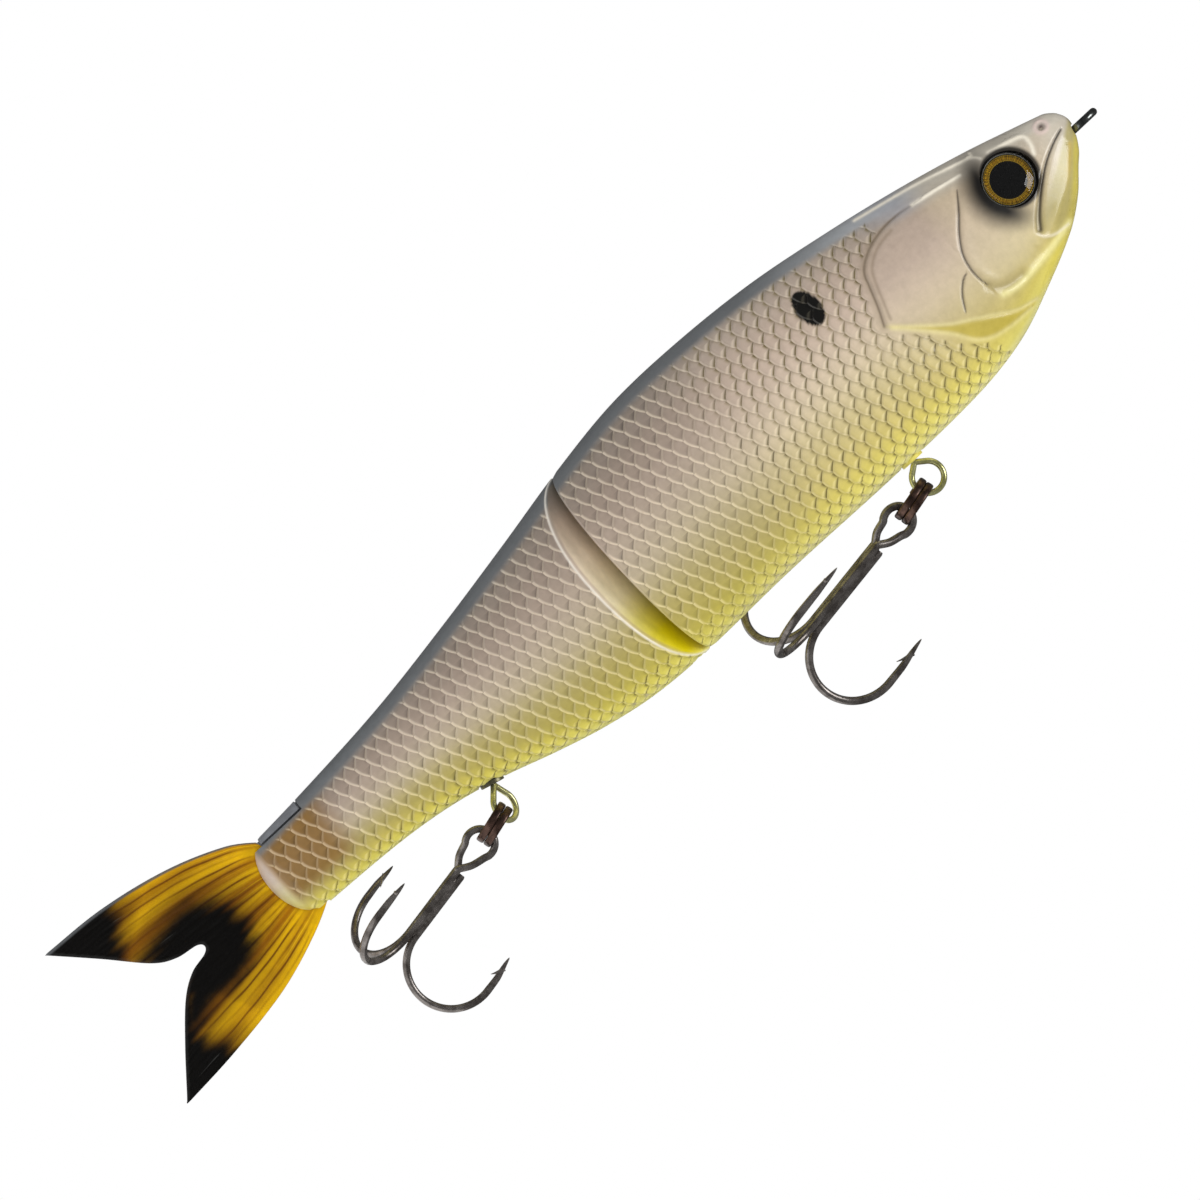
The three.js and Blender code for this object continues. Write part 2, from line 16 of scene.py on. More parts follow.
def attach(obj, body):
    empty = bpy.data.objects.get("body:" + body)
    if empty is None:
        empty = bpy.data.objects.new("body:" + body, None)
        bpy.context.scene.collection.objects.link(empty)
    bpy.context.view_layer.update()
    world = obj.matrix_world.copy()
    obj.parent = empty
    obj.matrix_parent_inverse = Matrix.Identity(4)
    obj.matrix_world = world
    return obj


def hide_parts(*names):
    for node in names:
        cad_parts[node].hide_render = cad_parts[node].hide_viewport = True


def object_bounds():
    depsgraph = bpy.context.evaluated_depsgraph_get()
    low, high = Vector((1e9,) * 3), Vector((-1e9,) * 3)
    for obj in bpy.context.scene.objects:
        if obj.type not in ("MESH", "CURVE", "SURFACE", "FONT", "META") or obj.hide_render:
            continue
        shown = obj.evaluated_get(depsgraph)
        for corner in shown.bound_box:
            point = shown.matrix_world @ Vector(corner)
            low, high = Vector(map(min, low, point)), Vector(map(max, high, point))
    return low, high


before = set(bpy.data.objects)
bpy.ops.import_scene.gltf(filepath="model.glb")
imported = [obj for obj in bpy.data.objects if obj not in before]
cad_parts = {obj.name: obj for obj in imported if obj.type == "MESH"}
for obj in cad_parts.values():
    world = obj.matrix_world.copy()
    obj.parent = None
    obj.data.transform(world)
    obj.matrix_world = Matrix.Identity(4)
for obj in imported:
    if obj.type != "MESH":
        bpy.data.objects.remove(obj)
cad_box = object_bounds()

# ---------------------------------------------------------------- driving sizes, mm
MM = 0.001
TIE_AHEAD = 1.3
TIE_UP = 2.4
LURE_TO_ROW = Matrix((
    (0, -MM, 0, TIE_UP * MM),
    (0, 0, MM, 0),
    (-MM, 0, 0, -TIE_AHEAD * MM),
    (0, 0, 0, 1),
))
FAR = 20  # above, below and beside the whole body
PAST_END = 160  # behind the whole body
AHEAD_OF_TAIL = 80  # in front of the whole tail section

GAP = 0.3
SEAM = 0.04
WALL = 1.8
SKIN_POWER = 0.89
SNOUT_ROUND = 2.4
BODY_END = 151.3
END_ROUND = 4.0

HINGE_BACK = 87.0
HINGE_EYES_UP = (7.9, -7.9)
HINGE_EYE = dict(at=HINGE_BACK, radius=1.75, anchor=80.6, wire=0.6)
TIE = dict(at=-TIE_AHEAD, up=TIE_UP, radius=1.85, anchor=5.2, wire=0.55)
ANCHOR_RADIUS = 1.5
PIN_RADIUS = 0.8
PIN_TOP = 12.6
KNUCKLE = 2.2
KNUCKLE_ROOM = 0.6
FRONT_FACE_AHEAD = 2.4
FRONT_SLOPE = 0.2
TAIL_SLOPE = 0.627
RIM_ROUND = 0.42

# Ribs are (back, thickness, top) and stand on the belly; posts are (back, up, radius).
FRONT_ROOM = dict(
    front=18, rear=77.5,
    ribs=((26.5, 1.3, -1), (39.8, 1.3, -1), (43.5, 8, -6.5), (53.4, 1.3, -1), (74.9, 1.3, -1)),
    posts=((24, 7, 2), (40, 8, 2), (59, 9, 2), (74, 9, 2)),
)
TAIL_ROOM = dict(
    front=94.5, rear=136,
    ribs=((96, 1.2, -1), (109.2, 1.2, -1), (114.5, 8, -0.5)),
    posts=((98, 8, 1.8), (112, 5.5, 1.8), (128, 2.5, 1.6)),
)

FRONT_HANGER = dict(back=47.3, up=-15.42, tilt=0, turn=0, loop=2.2, drop=3.2)
REAR_HANGER = dict(back=119.2, up=-8.5, tilt=14.6, turn=50, loop=2.08, drop=3.6)
HANGER_WIRE = 0.85
BUSHING = dict(bore=0.75, radius=1.5, flange=1.75, proud=0.25, top=0.3, length=4.8)
HANGER_HEAD = dict(radius=1.2, low=5.1, high=5.9)

RING_WIRE = dict(radial=0.8, axial=1.1)
FRONT_RING = dict(radius=2.9, swing=20, reach=1.64, lean=13)
REAR_RING = dict(radius=2.7, swing=25, reach=1.36, lean=15)
FRONT_TREBLE = dict(
    lean=8.2, roll=18, wire=1.15, eye=3.5, eye_radius=2.12, bend_at=21.3, bend=6.5, point=7.4,
)
REAR_TREBLE = dict(
    lean=9.8, roll=7, wire=1.05, eye=3.32, eye_radius=2.05, bend_at=18.7, bend=6.2, point=5.4,
)
TREBLE_NECK = 7.3

EYE = dict(back=11.85, up=3.5, radius=3.75, foil=0.5, dome=1.25, sink=1.5)
FIN = dict(thick=1.2, front=141.4, floor=-2.9, roof=6.5, rear=146.6)
RAIL = dict(front=140.8, floor=6.9, rear=147.9)

SCALE_PITCH = 2.0
SCALE_ROW = 2.12
SCALE_APEX = (81.67, 5.5)
SCALE_MEET = 1.25  # the height at which an upper edge goes under the scale above
SCALE_SLANT = 1.184  # how far ahead of the rearmost point it is there
SCALE_DROP = 0.5
SCALE_STRIP = 2.0  # how wide the smooth strip along the back is
SCALES_TO = 149.2

DETAIL = 1.0
FRONT_ROWS, FRONT_COLUMNS = int(392 * DETAIL), int(214 * DETAIL)
TAIL_ROWS, TAIL_COLUMNS = int(330 * DETAIL), int(180 * DETAIL)
FIN_ROWS, FIN_COLUMNS = int(150 * DETAIL), int(290 * DETAIL)


def profile(points):
    """A smooth function through (x, value) points, for numbers or arrays."""
    x, y = (np.array(values, float) for values in zip(*points))
    last = len(x) - 1
    before, after = np.maximum(np.arange(last + 1) - 1, 0), np.minimum(np.arange(last + 1) + 1, last)
    slope = (y[after] - y[before]) / (x[after] - x[before])

    def value(at):
        at = np.asarray(at, float)
        i = np.clip(np.searchsorted(x, at, side="right") - 1, 0, last - 1)
        span, rise = x[i + 1] - x[i], y[i + 1] - y[i]
        t = (at - x[i]) / span
        a, b = slope[i] * span - rise, rise - slope[i + 1] * span
        return y[i] + t * rise + t * (1 - t) * ((1 - t) * a + t * b)

    return value


BACK_LINE = profile([
    (0, 6.2), (6, 8.1), (14, 10.5), (24, 13.0), (34, 15.05), (47, 17.2), (60, 18.2),
    (72, 18.15), (84, 16.5), (96, 14.2), (110, 11.7), (124, 9.6), (140, 8.2), (152, 7.5),
])
BELLY_LINE = profile([
    (0, 1.4), (3, -1.3), (6, -4.4), (10, -7.3), (17, -10.6), (25, -13.6), (34, -15.05), (50, -15.4),
    (70, -15.15), (86, -15.4), (95, -14.9), (103, -13.4), (110, -11.4), (118, -8.8), (126, -6.9),
    (135, -5.8), (152, -5.0),
])
HALF_WIDTH = profile([
    (0, 2.6), (5, 5.0), (9, 6.2), (15, 7.5), (24, 9.2), (35, 10.5), (50, 11.3), (68, 11.5),
    (84, 11.2), (96, 10.3), (108, 8.6), (120, 6.6), (132, 5.0), (144, 3.9), (152, 3.4),
])
WIDEST_LINE = profile([(0, 3.9), (10, 2.4), (30, 1.2), (90, 0.6), (152, 1.2)])


# ---------------------------------------------------------------- small numbers
def smooth(low, high, x):
    """0 at low and beyond, 1 at high and beyond, with a soft step between them."""
    t = np.clip((x - low) / (high - low), 0, 1)
    return t * t * (3 - 2 * t)


def bump(x, width):
    return np.exp(-((x / width) ** 2))


def powered(x, power):
    """A power that keeps the number's sign."""
    return np.sign(x) * np.abs(x) ** power


def linear(red, green, blue):
    """A colour named by its 0 to 255 screen values, as linear light."""
    c = np.array([red, green, blue]) / 255
    return np.where(c <= 0.04045, c / 12.92, ((c + 0.055) / 1.055) ** 2.4)


def mix(a, b, share):
    share = np.clip(np.asarray(share, float), 0, 1)[..., None]
    return a * (1 - share) + b * share


def unit(vectors):
    return vectors / np.linalg.norm(vectors, axis=-1, keepdims=True)


def full_turn(steps):
    return 2 * np.pi * np.arange(steps) / steps


def curve(points, step=0.25):
    """Points along a smooth line through the given ones, in any number of dimensions."""
    p = np.array(points, float)
    p = np.vstack([2 * p[0] - p[1], p, 2 * p[-1] - p[-2]])
    made = []
    for a, b, c, d in zip(p[:-3], p[1:-2], p[2:-1], p[3:]):
        steps = max(2, int(np.linalg.norm(c - b) / step))
        t = np.arange(steps)[:, None] / steps
        square, cube = 2 * a - 5 * b + 4 * c - d, 3 * b - a - 3 * c + d
        made.append(0.5 * (2 * b + (c - a) * t + square * t**2 + cube * t**3))
    return np.vstack([*made, p[-2:-1]])


def line_distance(x, y, line, reach=4):
    """The distance of each point to a line of points, and how far along it, from 0 to 1. Points that
    are farther than reach before or behind the line are left out."""
    best, along = np.full(x.shape, 1e9), np.zeros(x.shape)
    near = (x > line[:, 0].min() - reach) & (x < line[:, 0].max() + reach)
    px, py = x[near], y[near]
    d_best, d_along = best[near], along[near]
    pieces = len(line) - 1
    for i, (a, b) in enumerate(zip(line[:-1], line[1:])):
        ab = b - a
        t = np.clip(((px - a[0]) * ab[0] + (py - a[1]) * ab[1]) / (ab @ ab), 0, 1)
        d = np.hypot(px - a[0] - t * ab[0], py - a[1] - t * ab[1])
        closer = d < d_best
        d_best = np.where(closer, d, d_best)
        d_along = np.where(closer, (i + t) / pieces, d_along)
    best[near], along[near] = d_best, d_along
    return best, along


def inside(x, y, outline):
    """True for the points inside a closed outline."""
    found = np.zeros(x.shape, bool)
    for a, b in zip(outline, np.roll(outline, -1, axis=0)):
        if a[1] == b[1]:
            continue
        crosses = (a[1] > y) != (b[1] > y)
        found ^= crosses & (x < (b[0] - a[0]) * (y - a[1]) / (b[1] - a[1]) + a[0])
    return found


# ---------------------------------------------------------------- meshes
def mesh_of(name, points, quads=(), polygons=()):
    """An object from an array of points, an array of quads and a list of larger polygons."""
    points = np.asarray(points, np.float32).reshape(-1, 3)
    quads = np.asarray(quads, np.int32).reshape(-1, 4)
    corners = np.concatenate([quads.ravel(), *polygons]).astype(np.int32)
    starts = np.cumsum([0] + [4] * len(quads) + [len(p) for p in polygons])[:-1]
    data = bpy.data.meshes.new(name)
    data.vertices.add(len(points))
    data.vertices.foreach_set("co", points.ravel())
    data.loops.add(len(corners))
    data.loops.foreach_set("vertex_index", corners)
    data.polygons.add(len(starts))
    data.polygons.foreach_set("loop_start", starts.astype(np.int32))
    data.update(calc_edges=True)
    made = bpy.data.objects.new(name, data)
    bpy.context.scene.collection.objects.link(made)
    return made


def grid_quads(rows, columns, closed=False, looped=False):
    """Quads between the rows of a grid of points. closed goes round each row, and looped from the last
    row on to the first."""
    r, c = np.meshgrid(
        np.arange(rows if looped else rows - 1), np.arange(columns if closed else columns - 1), indexing="ij",
    )
    row, next_row, next_c = r * columns, (r + 1) % rows * columns, (c + 1) % columns
    return np.stack([row + c, row + next_c, next_row + next_c, next_row + c], -1).reshape(-1, 4)


def end_caps(rows, columns):
    """The polygons that close a grid at its first and its last row."""
    return [list(range(columns))[::-1], list(range((rows - 1) * columns, rows * columns))]


def ringed(name, grid, looped=False):
    """A closed shape from rows of points that go round it, looped or with an end cap on both sides."""
    rows, columns = grid.shape[:2]
    caps = () if looped else end_caps(rows, columns)
    return facing_out(mesh_of(name, grid, grid_quads(rows, columns, closed=True, looped=looped), caps))


def turned(points, origin, axis):
    """Points that were made round the Z axis, moved to an origin and turned to another axis."""
    turn = np.array(Vector(axis).normalized().to_track_quat("Z", "Y").to_matrix())
    return points @ turn.T + np.array(origin)


def tube(name, path, radius, sides=16, ref=None, section=None, closed=False):
    """A wire along a path. radius is one number or one for each point; ref is a fixed direction across
    it, and section gives (across, along ref) sizes for a flattened wire."""
    path = np.array(path, float)
    ends = np.roll(path, -1, 0) - np.roll(path, 1, 0) if closed else np.gradient(path, axis=0)
    tangent = unit(ends)
    if ref is None:
        askew = (0.31, 0.52, 0.79)
        normals = [unit(np.cross(tangent[0], askew))]
        for t in tangent[1:]:
            normals.append(unit(normals[-1] - t * (normals[-1] @ t)))
        normals = np.array(normals)
    else:
        normals = unit(np.cross(tangent, ref))
    across, along = section or (1, 1)
    power = 0.6 if section else 1
    angle = full_turn(sides)
    x = powered(np.cos(angle), power)[:, None] * across
    y = powered(np.sin(angle), power)[:, None] * along
    around = x * normals[:, None] + y * np.cross(tangent, normals)[:, None]
    return ringed(name, path[:, None] + np.broadcast_to(radius, len(path))[:, None, None] * around, closed)


def lathe(name, outline, origin, axis, steps=72):
    """An outline of (radius, height) points turned about an axis. It ends on the axis twice, or loops."""
    radius, height = np.array(outline, float).T[..., None]
    angle = full_turn(steps)
    rings = np.stack([radius * np.cos(angle), radius * np.sin(angle), height + 0 * angle], -1)
    return cleaned(ringed(name, turned(rings, origin, axis), looped=radius[0, 0] > 0), weld=True)


def coordinates(data):
    co = np.zeros(len(data.vertices) * 3, np.float32)
    data.vertices.foreach_get("co", co)
    return co.reshape(-1, 3).astype(float)


def facing_out(made):
    """Turns a closed mesh's faces outwards, if they aren't."""
    data = made.data
    data.calc_loop_triangles()
    corners = np.zeros(len(data.loop_triangles) * 3, np.int32)
    data.loop_triangles.foreach_get("vertices", corners)
    a, b, c = (coordinates(data)[corners[k::3]] for k in range(3))
    if np.einsum("ij,ij->i", a, np.cross(b, c)).sum() < 0:
        data.flip_normals()
    return made


def cleaned(made, weld=False):
    """Makes a closed mesh's faces agree about which way is out. weld joins points in one place first."""
    work = bmesh.new()
    work.from_mesh(made.data)
    if weld:
        bmesh.ops.remove_doubles(work, verts=work.verts, dist=1e-6)
    bmesh.ops.recalc_face_normals(work, faces=work.faces)
    work.to_mesh(made.data)
    work.free()
    return facing_out(made)


def cylinder(low, high, radius, sides=32):
    return tube("tool", [low, high], radius, sides)


def block(low, high):
    faces = [[0, 1, 3, 2], [4, 6, 7, 5], [0, 4, 5, 1], [2, 3, 7, 6], [0, 2, 6, 4], [1, 5, 7, 3]]
    return facing_out(mesh_of("tool", list(product(*zip(low, high))), faces))


def torus(centre, radius, wire_radius, axis):
    angle = full_turn(96)
    circle = np.column_stack([radius * np.cos(angle), radius * np.sin(angle), 0 * angle])
    return tube("torus", turned(circle, centre, axis), wire_radius, 20, ref=axis, closed=True)


def combine(body, tool, how):
    """body joined with, cut by or kept within tool. The tool is used up."""
    step = body.modifiers.new(how, "BOOLEAN")
    step.operation = how
    step.solver = "MANIFOLD"
    step.object = tool
    bpy.context.view_layer.update()
    graph = bpy.context.evaluated_depsgraph_get()
    result = bpy.data.meshes.new_from_object(body.evaluated_get(graph))
    body.modifiers.clear()
    old = body.data
    body.data = result
    bpy.data.meshes.remove(old)
    bpy.data.objects.remove(tool)
    if len(result.vertices) == 0:
        raise RuntimeError(f"{body.name}: {how} left nothing")
    return body


def union(first, *others):
    for other in others:
        combine(first, other, "UNION")
    return first


def add_value(data, name, values):
    data.attributes.new(name, "FLOAT", "POINT").data.foreach_set("value", np.asarray(values, np.float32))


def add_colour(data, name, colours):
    four = np.column_stack([colours, np.ones(len(colours))]).astype(np.float32)
    data.attributes.new(name, "FLOAT_COLOR", "POINT").data.foreach_set("color", four.ravel())


def place(made, name, body, material, node, crease=50):
    """Names a finished shape, puts it in the row frame, gives it its material and body, and hides its CAD
    node.
    """
    made.name = name
    made.data.name = name
    made.data.transform(LURE_TO_ROW)
    made.data.shade_smooth()
    made.data.set_sharp_from_angle(angle=math.radians(crease))
    made.data.materials.clear()
    made.data.materials.append(material)
    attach(made, body)
    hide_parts(node)


# ---------------------------------------------------------------- the skin and its markings
def roundness(back):
    ahead = np.maximum(0, 1 - back / SNOUT_ROUND)
    behind = np.maximum(0, 1 - (BODY_END - back) / END_ROUND)
    return np.maximum(np.sqrt(np.maximum(0, 1 - ahead**2)) * np.sqrt(np.maximum(0, 1 - behind**2)), 0.02)


def skin(back, angle, inset=0.0):
    """Points of the skin at a distance behind the snout and an angle round from the fish's back."""
    back, angle = np.broadcast_arrays(back, angle)
    middle, size = WIDEST_LINE(back), roundness(back)
    rise, spread = powered(np.cos(angle), SKIN_POWER), powered(np.sin(angle), SKIN_POWER)
    height = np.where(rise > 0, BACK_LINE(back) - middle, middle - BELLY_LINE(back)) - inset
    return np.stack([back, middle + rise * height * size, spread * (HALF_WIDTH(back) - inset) * size], -1)


def skin_side(back, up):
    """How far the skin is from the middle plane at a place on the flank."""
    middle, size = WIDEST_LINE(back), roundness(back)
    height = np.where(up > middle, BACK_LINE(back) - middle, middle - BELLY_LINE(back)) * size
    cosine = np.clip(np.abs(up - middle) / np.maximum(height, 1e-6), 0, 1) ** (1 / SKIN_POWER)
    return np.sqrt(1 - cosine**2) ** SKIN_POWER * HALF_WIDTH(back) * size


def girth(back, up, side):
    """Up on the flank, but along the skin where it turns under the belly, so that scales keep their
    size."""
    turn = BELLY_LINE(back) * 0.80
    past = np.hypot(turn - up, np.abs(side) - skin_side(back, turn))
    return np.where(up < turn, turn - past, up)


def scale_pattern(back, level):
    """Overlapping scales in staggered rows. Gives the distance in from the rear edge of the scale at a
    point, the distance on to the edge of the next scale ahead, 1 where each is an upper edge, and how
    near that next edge is to the rearmost point of its scale."""
    row = np.floor((level - SCALE_APEX[1]) / SCALE_ROW)
    above = level - SCALE_APEX[1] - row * SCALE_ROW
    odd = row % 2
    slant = (above / SCALE_MEET) ** 1.35 * SCALE_SLANT
    upper = (SCALE_APEX[0] + odd * (SCALE_PITCH / 2) - back - slant) % SCALE_PITCH
    below = 1 - above / SCALE_ROW
    lower = (SCALE_APEX[0] + (1 - odd) * (SCALE_PITCH / 2) - back - below**1.9) % SCALE_PITCH
    shown = above < SCALE_MEET
    inward = np.minimum(lower, upper * shown + SCALE_PITCH * (1 - shown))
    ahead = SCALE_PITCH - np.maximum(lower, upper * shown)
    upper_ahead = (upper > lower) * shown
    near_upper = upper_ahead * smooth(1.6, 0.6, above)
    near_lower = (1 - upper_ahead) * smooth(SCALE_ROW - 1.0, SCALE_ROW - 0.2, above)
    return inward, ahead, (upper < lower) * shown, upper_ahead, near_upper + near_lower


# Where the scales start, as (up, back).
SCALES_FROM = profile([
    (-17, 27.2), (-13.5, 27.6), (-11.3, 28.6), (-9.4, 31.0), (-6.8, 33.2), (-4, 35.0), (-1, 38.2),
    (0.4, 39.1), (3, 38.0), (5.6, 36.8), (7.9, 35.8), (9.4, 33.4), (10.3, 30.4), (12, 29.4), (17, 31.5),
])


def scaled(back, up):
    """How much scale relief there is: 1 on the scaled flank, 0 on the head, the back and the tail's
    end."""
    strip = BACK_LINE(back) - up
    off_back = smooth(SCALE_STRIP - 0.35, SCALE_STRIP + 0.35, strip)
    return smooth(-0.15, 0.25, back - SCALES_FROM(up)) * off_back * smooth(0.0, 0.5, SCALES_TO - back)


HEAD = {name: curve(points) for name, points in dict(
    gill_rear=[
        (22.5, 9.8), (26, 10.3), (29.5, 10.25), (32.6, 9.4), (35, 7.8), (36, 5.6), (37, 3.0), (38.2, 0.4),
    ],
    gill_inner=[(28.5, 9.3), (31.5, 8.8), (34.0, 7.3), (35.2, 5.0), (36.2, 2.4), (36.9, 0.6)],
    gill_lower=[
        (38.2, 0.4), (35, -2.4), (31.5, -5.3), (28.5, -7.1), (25.5, -8.9), (23, -10.3), (20, -11.0),
    ],
    band_lower=[
        (37.6, -0.4), (34.6, -3.6), (32, -6.6), (30.2, -9.3), (28, -10.7), (25, -11.3), (21.5, -11.4),
    ],
    cheek=[(18.2, 7.2), (20, 5), (22.1, 2.7), (23.6, 0.5), (24.2, -1.5), (24.3, -3.4), (24.0, -5.0)],
    cheek_shade=[(24.0, -5.2), (23.2, -6.1), (21.6, -6.9), (19.6, -7.2)],
    cheek_ridge=[(23.2, -7.4), (21, -7.9), (17, -7.7), (13, -7.1), (9.6, -6.4)],
    slit=[(24.9, -1.8), (26.2, -2.4), (27.6, -3.8), (28.8, -5.8)],
    mouth=[(2.0, 3.65), (4.3, 2.85), (6.7, 1.65), (8.8, 0.15), (10.7, -1.4), (12.4, -3.0), (13.5, -4.4)],
    mouth_corner=[(14.1, -4.6), (13.7, -5.5), (12.2, -6.3), (10.0, -6.5)],
    jaw=[(2.4, 1.4), (4.2, -0.4), (6.2, -2.2), (9.0, -3.6), (12.5, -5.4), (15.5, -6.1)],
    brow=[(11.4, 8.0), (8.6, 7.3), (6.6, 6.5), (6.5, 5.1), (7.1, 3.7)],
    crest=[(31, 13.75), (22, 11.75), (14.3, 9.5), (13.3, 9.7)],
    crest_notch=[(14.0, 9.4), (13.2, 8.8), (12.8, 8.2)],
    temple=[(24, 9.9), (20, 9.15), (16.5, 8.45)],
    lip=[(0.6, 5.6), (2.6, 5.0), (4.4, 4.2)],
).items()}
HEAD_LINES_TO = 41
OPERCULUM = np.vstack([HEAD["gill_rear"], HEAD["gill_lower"], [(15, -8.5), (9, -3), (9, 6), (14, 8.2)]])
BAND = np.vstack([HEAD["gill_lower"], HEAD["band_lower"][::-1]])
NOSTRIL = (3.75, 5.75)
SPOT = dict(back=43.95, up=9.25, half_length=1.75, half_height=2.85)

# Moulded lines of the head: (name, how far it stands proud, half width). Tapered ones fade at both ends.
TAPERED_LINES = (
    ("cheek_ridge", 0.20, 0.55), ("slit", -0.22, 0.19), ("jaw", 0.16, 0.7), ("brow", 0.26, 0.42),
    ("mouth_corner", 0.1, 0.35), ("temple", 0.16, 0.35), ("lip", 0.14, 0.5),
)
EVEN_LINES = (
    ("gill_inner", -0.06, 0.3), ("gill_rear", -0.10, 0.2), ("cheek_shade", -0.22, 0.75),
    ("crest_notch", 0.14, 0.25),
)


def head_lines(back, up):
    """The distance to each of the head's lines, and how far along it, for points on the head."""
    on_head = back < HEAD_LINES_TO
    near = {name: np.full(back.shape, 99.0) for name in HEAD}
    along = {name: np.zeros(back.shape) for name in HEAD}
    for name, line in HEAD.items():
        near[name][on_head], along[name][on_head] = line_distance(back[on_head], up[on_head], line)
    return near, along


def edge_inside(back, up, outline, *edges):
    """How far each point is inside an outline, given its distances to the edges that count."""
    nearest = np.minimum(*edges)
    return np.where(inside(back, up, outline), nearest, -nearest)


def from_nostril(back, up):
    return np.hypot((back - NOSTRIL[0]) / 1.1, up - NOSTRIL[1])


def relief(back, up, side):
    """How far the surface stands proud of the plain skin, in mm. Each scale rises slowly towards its
    rear edge, then drops."""
    inward = scale_pattern(back, girth(back, up, side))[0]
    rise = smooth(0, SCALE_DROP, inward) * (1 - inward / SCALE_PITCH)
    height = scaled(back, up) * (0.30 - 0.075 * smooth(95, 140, back)) * (rise - 0.85)

    near, along = head_lines(back, up)
    plate = edge_inside(back, up, OPERCULUM, near["gill_rear"], near["gill_lower"])
    band = edge_inside(back, up, BAND, near["gill_lower"], near["band_lower"])
    height += 0.24 * smooth(-0.1, 0.6, plate) * smooth(13, 25, back)
    height += 0.16 * smooth(-0.1, 0.6, band)
    for name, proud, width in EVEN_LINES:
        height += proud * bump(near[name], width)
    for name, proud, width in TAPERED_LINES:
        taper = np.sqrt(np.clip(4 * along[name] * (1 - along[name]), 0, 1))
        height += proud * bump(near[name], width) * taper
    height += 0.16 * bump(near["crest"], 0.30) * smooth(0, 1, along["crest"])
    height -= 0.22 * bump(near["cheek"], 0.20) * smooth(0, 0.2, along["cheek"])
    height += 0.12 * smooth(0.1, 0.8, near["cheek"]) * bump(near["cheek"] - 0.7, 0.9) * (back < 24)
    height -= (0.30 + 0.3 * along["mouth"]) * bump(near["mouth"], 0.20 + 0.22 * along["mouth"])
    nostril = from_nostril(back, up)
    return height + 0.16 * bump(nostril - 0.75, 0.3) - 0.45 * bump(nostril, 0.42)


# Colours as (place, screen colour): up the flank from belly to back, and up the joint faces in mm.
FLANK_COLOURS = [
    (0.00, (242, 236, 160)), (0.04, (226, 214, 112)), (0.10, (207, 192, 96)), (0.17, (197, 181, 108)),
    (0.25, (194, 178, 120)), (0.35, (197, 181, 138)), (0.45, (201, 184, 154)), (0.55, (195, 177, 155)),
    (0.65, (187, 168, 151)), (0.80, (174, 156, 141)), (0.92, (160, 146, 133)), (1.00, (120, 120, 120)),
]
# The joint faces are partly their own yellow and bone tones and partly painted light: lighter than the
# plastic, for the shaded gap.
JOINT_TONES_AND_PAINTED_LIGHT = [
    (-15, (226, 214, 90)), (-13.5, (222, 206, 8)), (-9, (218, 204, 16)), (-6, (214, 202, 96)),
    (-2, (226, 214, 176)), (5, (222, 206, 182)), (11, (186, 168, 150)), (16, (96, 92, 90)),
]


def ramp(at, stops):
    places = [s for s, _ in stops]
    colours = np.array([linear(*c) for _, c in stops])
    return np.stack([np.interp(at, places, colours[:, k]) for k in range(3)], -1)


def airbrush(colour, *layers):
    """Lays paint over a colour. Each layer is a screen colour and how much it covers each point."""
    for tone, cover in layers:
        colour = mix(colour, linear(*tone), cover)
    return colour


def paint(points):
    """The body's airbrushed paint at each point, without the scales, and where the black spot is."""
    back, up, _ = points.T
    top, bottom = BACK_LINE(back), BELLY_LINE(back)
    share, strip = np.clip((up - bottom) / (top - bottom), 0, 1), top - up
    toward_tail, low_flank = smooth(54, 76, back), smooth(0.45, 0.2, share)
    light = 1 - 0.08 * toward_tail - 0.12 * toward_tail * smooth(0.6, 0.85, share)
    light *= 1 - 0.08 * bump(back - 26, 11) * smooth(0.2, 0.4, share)
    light *= 1 - 0.14 * bump(back - 22, 7) * low_flank
    colour = ramp(share, FLANK_COLOURS) * light[:, None]
    colour[:, 2] *= 1 - 0.26 * smooth(68, 88, back) * low_flank

    bronze = smooth(136.0, 141.0, back) * smooth(-3.8, -0.8, up)
    colour = airbrush(colour, ((142, 104, 40), 0.9 * bronze))
    grey = mix(linear(166, 169, 172), linear(98, 101, 103), smooth(22, 52, back))
    colour = mix(colour, grey, smooth(2.6, 1.3, strip))
    crown = smooth(4.8, 2.6, strip) * smooth(4.5, 9, back) * smooth(34, 26, back)
    dark_back = smooth(1.4, 0.0, strip) * smooth(50, 85, back)
    colour = airbrush(colour, ((150, 151, 156), 0.8 * crown), ((60, 62, 64), 0.25 * dark_back))
    colour = paint_head(colour, back, up)

    spot = np.hypot((back - SPOT["back"]) / SPOT["half_length"], (up - SPOT["up"]) / SPOT["half_height"])
    ink = smooth(1.04, 0.94, spot)
    colour = airbrush(colour, ((14, 13, 11), ink))
    rim_colour = mix(linear(216, 210, 140), linear(206, 190, 178), smooth(-3, 3, up))
    return mix(colour, rim_colour, 0.85 * smooth(148.8, 150.0, back)), ink


